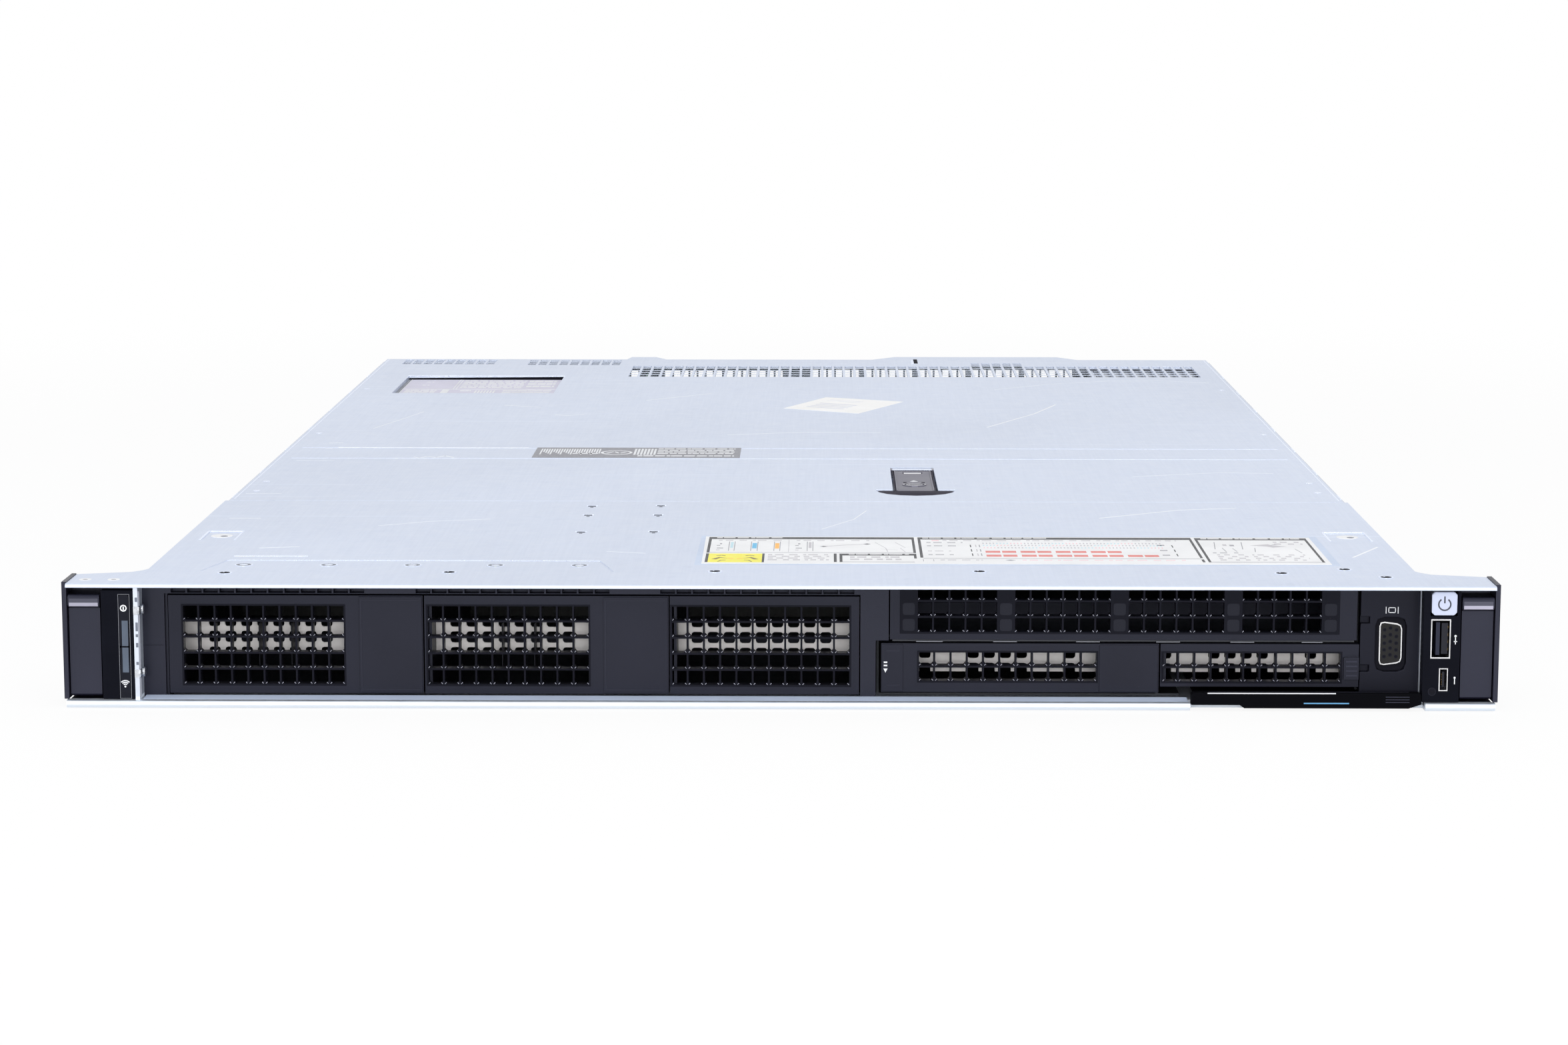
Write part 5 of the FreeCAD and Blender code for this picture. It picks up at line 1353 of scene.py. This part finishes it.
# ---- controls ------------------------------------------------------------------------
class SERVER_OT_left_controls(Step, Operator):
    """Light bars and plain marks of the left control strip, and a grey rim of painted highlight
    round it
    """
    bl_idname = "server.left_controls"
    bl_label = "Left controls"

    def build(self, scene):
        x0, x1, front, _, z0, z1 = box_mm("id_button")
        cx = (x0 + x1) / 2 - 0.1
        upper = Draft()
        upper.proud(front, x0 + 0.8, x1 - 0.35, z0 + 0.1, z0 + 8.8, 0.05, 0, 0.3)
        upper.front_ring(cx, z1 - 4.4, 1.15, 0.75, front - 0.04, front + 0.2, 1)
        upper.proud(front, cx - 0.2, cx + 0.2, z1 - 5.0, z1 - 3.9, 0.04, 1)
        upper.piece("id_button_lens", ("light_bar", "white_print"), "id_button")
        x0, x1, front, _, z0, z1 = box_mm("wireless_button")
        cx, cz = (x0 + x1) / 2 - 0.1, z0 + 4.0
        lower = Draft()
        lower.proud(front, x0 + 0.8, x1 - 0.35, z1 - 8.6, z1 - 0.1, 0.05, 0, 0.3)
        for radius in (0.75, 1.35, 1.95):
            lower.front_ring(cx, cz, radius + 0.17, radius - 0.17, front - 0.04, front + 0.2, 1,
                             start=45.0, sweep=90.0, steps=8)
        lower.disc_on(cx, cz - 0.1, 0.32, front - 0.04, front + 0.2, 1)
        lower.piece("wireless_button_lens", ("light_bar", "white_print"), "wireless_button")
        front = box_mm("left_control_panel").d0
        # Painted highlight round the edges of the control strip.
        rim = Draft()
        for a, b, low, high in ((x0 - 0.35, x0 - 0.2, 3.1, 38.5), (x1 + 0.2, x1 + 0.35, 3.1, 38.5),
                                (x0 - 0.35, x1 + 0.35, 38.5, 38.65),
                                (x0 - 0.35, x1 + 0.35, 2.95, 3.1)):
            rim.proud(front, a, b, low, high, 0.05)
        rim.piece("left_strip_rim", ("grey_print",), "left_control_panel")


class SERVER_OT_right_controls(Step, Operator):
    """Power mark, socket tongues, status hole and plain marks of the right panel"""
    bl_idname = "server.right_controls"
    bl_label = "Right controls"

    def build(self, scene):
        key = box_mm("power_button")
        mark = Draft()
        mark.front_ring(key.cx, key.cz - 0.2, 2.25, 1.75, key.d0 - 0.05, key.d0 + 0.2, start=125.0,
                        sweep=290.0, steps=24)
        mark.proud(key.d0, key.cx - 0.25, key.cx + 0.25, key.cz + 0.2, key.cz + 2.5, 0.05)
        mark.piece("power_mark", ("key_dark",), "power_button")
        x0, x1, d0, d1, z0, z1 = box_mm("usb_a_port")
        tongue = Draft()
        tongue.block(x0 + 3.8, x0 + 5.9, d0 + 1.1, d1 - 1.2, z0 + 1.5, z1 - 1.5, 0)
        for k in range(4):
            z = z0 + 3.0 + k * 2.5
            tongue.block(x0 + 5.88, x0 + 6.0, d0 + 1.5, d0 + 8.0, z - 0.45, z + 0.45, 1)
        tongue.block(x0 + 0.55, x1 - 0.55, d1 - 1.3, d1 - 0.9, z0 + 0.55, z1 - 0.55, 0)
        for z in (z0 + 3.4, z1 - 3.4):
            tongue.block(x0 + 0.5, x0 + 0.7, d0 + 1.2, d0 + 5.0, z - 0.9, z + 0.9, 2)
        tongue.block(x0 + 1.9, x0 + 3.2, d0 + 0.9, d1 - 1.4, z0 + 1.2, z1 - 1.2, 3)
        tongue.piece("usb_a_tongue", ("black_plastic", "pin_gold", "shell_bright", "tongue_grey"),
                     "usb_a_port")
        x0, x1, d0, d1, z0, z1 = box_mm("micro_usb_port")
        small = Draft()
        small.block(x0 + 1.15, x0 + 1.95, d0 + 0.7, d1 - 0.6, z0 + 1.35, z1 - 1.35, 0)
        small.block(x0 + 0.45, x1 - 0.45, d1 - 0.9, d1 - 0.7, z0 + 0.45, z1 - 0.45, 0)
        for k in range(5):
            z = z0 + 2.2 + k * 0.85
            small.block(x0 + 1.08, x0 + 1.16, d0 + 0.9, d0 + 3.5, z - 0.15, z + 0.15, 1)
        small.piece("micro_usb_tongue", ("black_plastic", "pin_gold"), "micro_usb_port")
        front = box_mm("right_control_panel").d0
        marks = Draft()
        marks.front_ring(218.9, 6.4, 1.4, 1.15, front - 0.06, front + 0.2, 2)
        marks.disc_on(218.9, 6.4, 1.15, front - 0.02, front + 0.2, 1)
        for a, b, low, high in ((226.15, 226.45, 22.6, 25.3), (225.75, 226.85, 23.4, 23.7),
                                (226.2, 226.5, 9.0, 11.0)):
            marks.proud(front, a, b, low, high, 0.05)
        for x, z, radius in ((226.3, 25.4, 0.4), (226.35, 11.2, 0.35)):
            marks.disc_on(x, z, radius, front - 0.05, front + 0.2)
        marks.piece("right_panel_marks", ("white_print", "dark_hole", "socket_plastic"),
                    "right_control_panel")


class SERVER_OT_display_socket(Step, Operator):
    """Insulator, fifteen pin holes and the display mark of the front display socket"""
    bl_idname = "server.display_socket"
    bl_label = "Display socket"

    def build(self, scene):
        box = box_mm("front_vga_connector")
        cx, cz, front = 206.0, box.cz, box.d0
        core = Draft()
        core.face_on(((cx - 3.4, cz - 7.2), (cx + 3.4, cz - 6.2), (cx + 3.4, cz + 6.2),
                      (cx - 3.4, cz + 7.2)), front + 0.7, front + 1.05)
        for column in range(3):
            for row in range(5):
                x = cx - 2.0 + column * 2.0
                z = cz - 4.6 + row * 2.3 + (0.6 if column == 1 else 0.0)
                core.front_ring(x, z, 0.66, 0.5, front + 0.62, front + 0.8, 1, steps=12)
                core.disc_on(x, z, 0.5, front + 0.66, front + 0.8, 2, steps=10)
        core.piece("display_socket_core", ("core_grey", "socket_plastic", "dark_hole"),
                   "front_vga_connector")
        halo = Draft()
        # Painted shade in the recess round the display socket.
        halo.face_on(rounded_box(200.9, 211.1, 11.8, 30.2, 2.9), BAY_FACE + 1.5, BAY_FACE + 1.9)
        halo.piece("display_socket_recess", ("dark_hole",), "vga_panel")
        icon = Draft()
        for a, b, low, high in ((204.9, 207.4, 31.8, 32.05), (204.9, 207.4, 33.5, 33.75),
                                (204.9, 205.15, 31.8, 33.75), (207.15, 207.4, 31.8, 33.75),
                                (204.0, 204.25, 31.6, 33.9), (208.05, 208.3, 31.6, 33.9)):
            icon.proud(BAY_FACE, a, b, low, high, 0.06, 0, 0.1)
        icon.piece("display_mark", ("white_print",), "vga_panel")


class SERVER_OT_tag_lines(Step, Operator):
    """Bright line along the top edge as a painted highlight, and blue line on the pull-out tag"""
    bl_idname = "server.tag_lines"
    bl_label = "Tag lines"

    def build(self, scene):
        x0, x1, front, _, z0, z1 = box_mm("info_tag")
        lines = Draft()
        # Painted highlight: a bright line along the top edge of the tag's front.
        lines.proud(front, x0 + 5.4, x0 + 48.4, z1 - 0.25, z1 + 0.05, 0.05, 0, 0.35)
        lines.proud(front, x0 + 37.7, x0 + 52.9, z0 + 1.55, z0 + 1.95, 0.06, 1)
        lines.block(x0 + 6.0, x1 - 4.0, front + 2.0, front + 2.3, z1 - 0.1, z1 + 0.08, 2)
        for k in range(3):
            z = z0 + 2.0 + k * 0.9
            lines.proud(front, x1 - 12.0, x1 - 4.0, z, z + 0.3, 0.08, 2)
        lines.piece("tag_lines", ("white_print", "tag_line", "ear_plastic"), "info_tag")


class SERVER_OT_front_metal(Step, Operator):
    """Punched pegs, edge line and small screws where the chassis meets the ears, a pale apron strip
    of painted light, and painted highlights on the latch caps' lips
    """
    bl_idname = "server.front_metal"
    bl_label = "Front metal"

    def build(self, scene):
        pegs = Draft()
        for z in (11.6, 33.1):
            pegs.dome(place(-215.5, 3.0, z), (1, 0, 0), 1.9, 1.1)
            pegs.block(-217.0, -215.3, 1.7, 2.1, z - 1.4, z + 1.4)
        for low, high in ((20.5, 22.0), (24.0, 25.0), (26.0, 29.0), (14.5, 15.5), (36.0, 37.5)):
            pegs.block(-216.4, -215.6, 1.9, 2.2, low, high, 1)
        pegs.piece("left_wall_pegs", ("fastener", "mark_shadow"), "ear_rivets")
        zinc = Draft()
        zinc.block(-217.3, -214.95, 2.24, 2.5, 3.6, 39.6, 0)
        # Painted light: a pale strip on the apron, where the floor strip lies in shade.
        zinc.block(-214.7, 137.4, 2.2, 9.8, 2.2, 2.72, 1)
        zinc.piece("front_apron_and_wall_end", ("wall_grey", "apron_painted_light"), "chassis_base")
        for node in ("slam_latch_left", "slam_latch_right"):
            box = box_mm(node)
            lip = Draft()
            # Painted highlight on each cap's lip: the brightest band lowest, a softer band above
            # it.
            for finish, (low, high) in enumerate(((34.5, 35.7), (35.7, 37.1))):
                lip.proud(box.d0, box.x0 + 0.5, box.x1 - 0.5, low, high, 0.03, finish, 0.25)
            lip.piece(node + "_lip", ("lip_painted_highlight", "lip_painted_soft_highlight"), node)
        pads = Draft()
        for x in (-240.1, 240.1):
            pads.block(x - 0.3, x + 0.3, 14.0, 17.0, 6.0, 9.0)
        pads.piece("ear_cheek_pads", ("ear_plastic",), "rack_ear_left")


# ---- sides, floor and rear ---------------------------------------------------------------
class SERVER_OT_side_marks(Step, Operator):
    """Rivets, pressed beads and slots along both sides of the chassis"""
    bl_idname = "server.side_marks"
    bl_label = "Side rivets and beads"

    def build(self, scene):
        rivets, beads, flange = Draft(), Draft(), Draft()
        for side in (-1, 1):
            wall, skin = side * SIDE, side * (SIDE - 0.05)
            for depth in (70.0, 120.0, 190.0, 302.0, 338.0, 420.0, 512.0, 560.0, REAR - 30.0,
                          REAR - 8.0):
                for z in (6.5, 36.5):
                    rivets.dome(place(wall, depth, z), (side, 0, 0), 2.0, 0.7)
            for a, b in ((96.0, 300.0), (392.0, 610.0)):
                for z in (12.0, 30.5):
                    beads.side_on(((a, z), (a + 3, z - 0.8), (b - 3, z - 0.8), (b, z),
                                   (b - 3, z + 0.8), (a + 3, z + 0.8)), skin, side * (SIDE + 0.45))
            for depth in (84.0, 310.0, 600.0):
                beads.side_on(((depth, 18.6), (depth + 6, 18.6), (depth + 6, 24.2), (depth, 24.2)),
                              skin, side * (SIDE + 0.06), 1)
            hook = side * 216.2
            for k in range(7):
                depth = 206.0 + 70.0 * k
                flange.block(hook - 0.5, hook + 0.5, depth, depth + 12.0, 41.2, 41.7)
        rivets.piece("side_rivets", ("fastener",), "chassis_base")
        beads.piece("side_beads", ("chassis_sheet", "dark_hole"), "chassis_base", 0.0001)
        flange.piece("side_top_hooks", ("sheet_bright_and_highlight",), "chassis_base", 0.0001)


class SERVER_OT_floor_marks(Step, Operator):
    """Flush screws and pressed rings in the floor sheet"""
    bl_idname = "server.floor_marks"
    bl_label = "Floor screws"

    def build(self, scene):
        bottom = box_mm("chassis_base").z0
        low, high = bottom - 0.03, bottom + 0.1
        marks = Draft()
        for x in (-190.0, -95.0, 0.0, 95.0, 190.0):
            for depth in (60.0, 200.0, 345.0, 500.0, 660.0):
                marks.top_ring(x, depth, 4.2, 3.4, low, high, steps=20)
                marks.disc_up(x, depth, 2.6, low, high, 1, steps=16)
        for x in (-150.0, 150.0):
            for depth in (270.0, 580.0):
                marks.block(x - 30.0, x + 30.0, depth, depth + 0.6, low, high)
        marks.piece("floor_screws", ("sheet_bright_and_highlight", "fastener"), "chassis_base")


class SERVER_OT_rear_wall(Step, Operator):
    """Vent lattice, screws and socket details of the rear wall"""
    bl_idname = "server.rear_wall"
    bl_label = "Rear wall"

    def build(self, scene):
        self.lattice()
        screws = Draft()
        for x, z in ((-76.0, 30.9), (0.0, 31.0), (108.0, 9.0), (150.2, 20.0), (-150.2, 20.0),
                     (14.0, 11.0)):
            screws.dome(place(x, REAR, z), (0, 1, 0), 2.4, 1.0)
            for wide, tall in ((1.4, 0.25), (0.25, 1.4)):
                screws.block(x - wide, x + wide, REAR + 0.7, REAR + 1.05, z - tall, z + tall, 1)
        screws.piece("rear_screws", ("fastener", "dark_hole"), "rear_wall")
        self.sockets()

    def lattice(self):
        """Thin bars that divide the vents of the wall and of the slot covers into cells."""
        bars = Draft()
        near, far = REAR - 1.1, REAR - 0.1
        for i in range(5):
            a = 8.0 + 28.0 * i
            for k in range(1, 6):
                x = a + 25.0 * k / 6
                bars.block(x - 0.5, x + 0.5, near, far, 24.3, 37.7)
            for k in range(1, 3):
                z = 24.5 + 13.0 * k / 3
                bars.block(a - 0.2, a + 25.2, near, far, z - 0.5, z + 0.5)
        cover = box_mm("slot_covers")
        near, far = cover.d0 + 0.1, cover.d1 - 0.1
        for start in (cover.x0 + 1.2, cover.x0 + 77.2):
            for a in (start + 3, start + 35):
                for k in range(1, 7):
                    x = a + 30.0 * k / 7
                    bars.block(x - 0.5, x + 0.5, near, far, cover.z0 + 3.0, cover.z1 - 3.0)
                bars.block(a - 0.2, a + 30.2, near, far, cover.cz - 0.5, cover.cz + 0.5)
        bars.piece("rear_vent_lattice", ("chassis_sheet",), "rear_wall")

    def sockets(self):
        """Contacts, lamps, tongues and pin holes of the rear sockets."""
        ports = Draft()
        for x in (-140.0, -122.0):
            for k in range(8):
                a = x + 4.6 + k * 0.95
                ports.block(a, a + 0.4, REAR - 12.0, REAR - 3.0, 17.6, 18.2)
            for a in (x + 2.2, x + 11.6):
                ports.block(a, a + 2.2, REAR + 0.55, REAR + 0.75, 19.3, 20.4, 1)
        usb = box_mm("rear_usb_ports")
        for z in (usb.z0 + 4.0, usb.z0 + 10.8):
            ports.block(usb.x0 + 1.7, usb.x1 - 1.7, REAR - 12.6, REAR - 0.7, z, z + 1.6, 2)
        display = box_mm("rear_vga_connector")
        cx, cz = display.cx, display.cz
        ports.face_on(((cx - 6.8, cz - 3.3), (cx + 6.8, cz - 3.3), (cx + 7.8, cz + 3.3),
                       (cx - 7.8, cz + 3.3)), REAR + 1.0, REAR + 3.0, 2)
        for row in range(3):
            for k in range(5):
                x = cx - 4.6 + 2.3 * k + (0.6 if row == 1 else 0.0)
                ports.front_ring(x, cz - 2.0 + 2.0 * row, 0.62, 0.42, REAR + 2.9, REAR + 3.1,
                                 steps=12)
        for x in (cx - 12.4, cx + 12.4):
            ports.disc_on(x, cz, 2.3, REAR - 0.2, REAR + 3.6, 3, steps=6)
        ports.piece("rear_socket_details", ("pin_gold", "green_lens", "black_plastic", "fastener"),
                    "rear_vga_connector")


class SERVER_OT_supplies(Step, Operator):
    """Inlet frames, fan guards, lamps and grips of both power supplies"""
    bl_idname = "server.supplies"
    bl_label = "Power supplies"

    HANDLE, AXIS = 33.0, 21.4

    def build(self, scene):
        for number, side in ((1, -1), (2, 1)):
            node = "power_supply_%d" % number
            box = box_mm(node)
            tail = box.d1
            face = tail - self.HANDLE
            inner = box.x0 if side > 0 else box.x1

            def span(a, b):
                return sorted((inner + side * a, inner + side * b))

            guard = Draft()
            a, b = span(2.2, 32.0)
            for x0, x1, z0, z1 in ((a, b, 8.6, 9.8), (a, b, 30.2, 31.4), (a, a + 1.1, 9.8, 30.2),
                                   (b - 1.1, b, 9.8, 30.2)):
                guard.block(x0, x1, face - 0.2, face + 0.5, z0, z1)
            self.fan_guard(guard, *span(38.6, 58.4), face)
            guard.disc_on(inner + side * 27.5, 35.4, 1.3, face - 0.1, face + 0.6, 2)
            guard.piece(node + "_rear_trim", ("black_plastic", "fastener", "green_lens"), node)
            grip = Draft()
            a, b = span(32.6, 37.9)
            for z in (9.2, 33.0):
                grip.block(a, b, face + 2.0, tail - 4.0, z - 0.35, z + 0.35)
            for k in range(6):
                z = 14.0 + 2.6 * k
                grip.block(a, b, tail - 4.2, tail - 0.6, z, z + 1.0)
            grip.piece(node + "_handle_grip", ("black_plastic",), node, 0.0001)

    def fan_guard(self, guard, a, b, face):
        """Louvres, wire rings, hub and crossed spokes over the fan."""
        cx, cz = (a + b) / 2, self.AXIS
        for z in (11.7, 17.7, 23.7, 29.7):
            guard.block(a, b, face - 0.2, face + 0.35, z - 0.1, z + 0.1, 1)
        for radius in (3.0, 6.0, 9.0):
            guard.front_ring(cx, cz, radius + 0.35, radius - 0.35, face - 0.9, face + 0.4, 1,
                             steps=28)
        guard.disc_on(cx, cz, 1.6, face - 0.9, face + 0.6, 1)
        for angle in (45, 135):
            dx, dz = math.cos(math.radians(angle)), math.sin(math.radians(angle))
            guard.face_on([(cx + 9.6 * u * dx + 0.3 * v * dz, cz + 9.6 * u * dz - 0.3 * v * dx)
                           for u, v in ((-1, -1), (-1, 1), (1, 1), (1, -1))], face - 0.9,
                           face + 0.2, 1)


class SERVER_OT_inside(Step, Operator):
    """Chips, sockets and coils on the main board, and stickers on the fan hubs"""
    bl_idname = "server.inside"
    bl_label = "Inside fittings"

    FAN_AXIS = 20.7

    def build(self, scene):
        board = box_mm("system_board").z1
        parts = Draft()
        for k in range(12):
            x, depth = -128.0 + (k % 6) * 46.0, 525.0 + (k // 6) * 60.0
            parts.block(x, x + 9.0 + (k % 3) * 3.0, depth, depth + 9.0, board, board + 1.2)
            parts.disc_up(x + 18.0, depth + 4.0, 3.0, board, board + 7.0, 1)
            parts.block(x + 24.0, x + 30.0, depth - 2.0, depth + 14.0, board, board + 4.0, 2)
        parts.piece("board_parts", ("black_plastic", "fastener", "paper"), "system_board", 0.0002)
        for node in numbered("fan_rotor", 7):
            fan = box_mm(node)
            hub = Draft()
            hub.front_ring(fan.cx, self.FAN_AXIS, 7.6, 6.6, fan.d0 + 0.2, fan.d0 + 0.7, steps=24)
            hub.disc_on(fan.cx, self.FAN_AXIS, 5.0, fan.d0 + 0.3, fan.d0 + 0.6, 1)
            hub.piece(node + "_hub_ring", ("black_plastic", "grey_print"), node)


# ---- stage --------------------------------------------------------------------------------
def seen_rays(tree):
    """1 for rays of the camera, of reflections and of clear parts."""
    path = tree.nodes.new("ShaderNodeLightPath")
    seen = combined(tree, "MAXIMUM", path.outputs["Is Camera Ray"], path.outputs["Is Glossy Ray"])
    return combined(tree, "MAXIMUM", seen, path.outputs["Is Transmission Ray"])


def mix_to_output(tree, amount, first, second, out):
    """Joins two shaders and sends them to the output."""
    mix = tree.nodes.new("ShaderNodeMixShader")
    for value, socket in zip((amount, first.outputs[0], second.outputs[0]), mix.inputs):
        tree.links.new(value, socket)
    tree.links.new(mix.outputs[0], out.inputs["Surface"])


def plain_light(tree, kind, shade, strength):
    """Emission or background node with an even colour."""
    node = tree.nodes.new(kind)
    node.inputs["Color"].default_value = (*shade, 1.0)
    node.inputs["Strength"].default_value = strength
    return node


def stage_floor_material(shade):
    """Pale floor: seen white by the camera and in reflections, with the object's soft shadow."""
    material, tree, shader = blank_material("stage_floor_paper")
    out = [n for n in tree.nodes if n.type == "OUTPUT_MATERIAL"][0]
    cloud = stretched_noise(tree, (1.3, 1.3, 1.3), 2.0)
    base = ramp(tree, cloud, ((0.3, scaled(shade, 0.99)), (0.7, shade)))
    tree.links.new(base, shader.inputs["Base Color"])
    tree.links.new(remap(tree, cloud, 0.85, 0.95), shader.inputs["Roughness"])
    shader.inputs["Specular IOR Level"].default_value = 0.1
    coords = tree.nodes.new("ShaderNodeTexCoord")
    distance = tree.nodes.new("ShaderNodeVectorMath")
    distance.operation = "LENGTH"
    tree.links.new(coords.outputs["Object"], distance.inputs[0])
    spread = remap(tree, distance.outputs["Value"], 0.9, 1.0, 0.45, 1.1)
    spread.node.interpolation_type = "SMOOTHSTEP"
    gate = combined(tree, "MULTIPLY", spread, seen_rays(tree))
    glow = plain_light(tree, "ShaderNodeEmission", WHITE, 1.0)
    mix_to_output(tree, gate, shader, glow, out)
    return material


def area_lamp(name, position, target, width, height, power):
    """Soft rectangular lamp at a position, turned to a target."""
    light = bpy.data.lights.new(name, "AREA")
    light.shape = "RECTANGLE"
    light.size = width
    light.size_y = height
    light.energy = power
    lamp = bpy.data.objects.new(name, light)
    bpy.context.scene.collection.objects.link(lamp)
    lamp.location = position
    lamp.rotation_euler = (Vector(target) - Vector(position)).to_track_quat("-Z", "Y").to_euler()


# Gap under the server, then name, position, target, width and height of each lamp, in metres.
FLOOR_GAP = 0.0003
LAMPS = (("key", (0.0, -1.5, 1.3), (0.0, -0.2, 0.0), 1.8, 0.9),
         ("front", (0.0, -1.9, 0.26), (0.0, -0.36, 0.02), 1.5, 0.3),
         ("left", (-1.6, -0.7, 0.8), (-0.1, -0.2, 0.0), 0.7, 1.1),
         ("right", (1.6, -0.7, 0.8), (0.1, -0.2, 0.0), 0.7, 1.1))
CAMERA_PLACE = (0.0148, -1.5552, 0.2466)
CAMERA_TURNS = ((0.641, "Z"), (81.248, "X"), (0.018, "Z"))


class SERVER_OT_stage(Step, Operator):
    """Floor, even light, soft lamps and the camera"""
    bl_idname = "server.stage"
    bl_label = "Stage"

    def build(self, scene):
        setup = scene.rack_server_stage
        floor_mesh = bpy.data.meshes.new("stage_floor")
        draft = bmesh.new()
        low = CAD_BOX[0][2] - FLOOR_GAP
        draft.faces.new([draft.verts.new((x, y, low)) for x,
                         y in ((-9, -6), (9, -6), (9, 12), (-9, 12))])
        draft.to_mesh(floor_mesh)
        draft.free()
        floor = bpy.data.objects.new("stage_floor", floor_mesh)
        scene.collection.objects.link(floor)
        floor_mesh.materials.append(stage_floor_material(tuple(setup.floor)))

        world = bpy.data.worlds.new("stage_sky")
        scene.world = world
        world.use_nodes = True
        tree = world.node_tree
        tree.nodes.clear()
        out = tree.nodes.new("ShaderNodeOutputWorld")
        light = plain_light(tree, "ShaderNodeBackground", (0.985, 0.99, 1.0), setup.sky)
        white = plain_light(tree, "ShaderNodeBackground", WHITE, 1.0)
        mix_to_output(tree, seen_rays(tree), light, white, out)
        for name, position, target, width, height in LAMPS:
            area_lamp(name + "_lamp", position, target, width, height,
                      getattr(setup, name + "_power"))

        data = bpy.data.cameras.new("camera")
        data.sensor_width = 36.0
        data.lens = setup.lens
        data.clip_start = 0.01
        data.clip_end = 60.0
        camera = bpy.data.objects.new("camera", data)
        scene.collection.objects.link(camera)
        turn = Matrix.Identity(4)
        for angle, axis in CAMERA_TURNS:
            turn = turn @ Matrix.Rotation(math.radians(angle), 4, axis)
        camera.matrix_world = Matrix.Translation(CAMERA_PLACE) @ turn
        scene.camera = camera
        scene.view_settings.view_transform = "Standard"


# ---- add-on ---------------------------------------------------------------------------------
STEPS = (SERVER_OT_finishes, SERVER_OT_panel_rivets, SERVER_OT_service_label,
         SERVER_OT_cover_labels, SERVER_OT_scratches, SERVER_OT_cover_vents,
         SERVER_OT_cover_latch, SERVER_OT_cover_marks, SERVER_OT_grilles, SERVER_OT_screens,
         SERVER_OT_bay_trim, SERVER_OT_left_controls, SERVER_OT_right_controls,
         SERVER_OT_display_socket, SERVER_OT_tag_lines, SERVER_OT_front_metal,
         SERVER_OT_side_marks, SERVER_OT_floor_marks, SERVER_OT_rear_wall, SERVER_OT_supplies,
         SERVER_OT_inside, SERVER_OT_stage)


class SERVER_PT_panel(Panel):
    """Steps and settings of the rack server"""
    bl_idname = "SERVER_PT_panel"
    bl_label = "1U rack server"
    bl_space_type = "VIEW_3D"
    bl_region_type = "UI"
    bl_category = "Rack server"

    def draw(self, context):
        layout = self.layout
        for step in STEPS:
            layout.operator(step.bl_idname)
        for name in SETTINGS:
            group = getattr(context.scene, name)
            box = layout.box()
            for key in group.__annotations__:
                box.prop(group, key)


SETTINGS = {"rack_server_colours": RackServerColours, "rack_server_sizes": RackServerSizes,
            "rack_server_stage": RackServerStage}
CLASSES = (*SETTINGS.values(), *STEPS, SERVER_PT_panel)


def register():
    for item in CLASSES:
        bpy.utils.register_class(item)
    for name, group in SETTINGS.items():
        setattr(bpy.types.Scene, name, PointerProperty(type=group))


def unregister():
    for name in SETTINGS:
        delattr(bpy.types.Scene, name)
    for item in reversed(CLASSES):
        bpy.utils.unregister_class(item)


def main():
    register()
    for step in STEPS:
        group, name = step.bl_idname.split(".")
        getattr(getattr(bpy.ops, group), name)()
    bpy.context.view_layer.update()


if __name__ == "__main__":
    main()
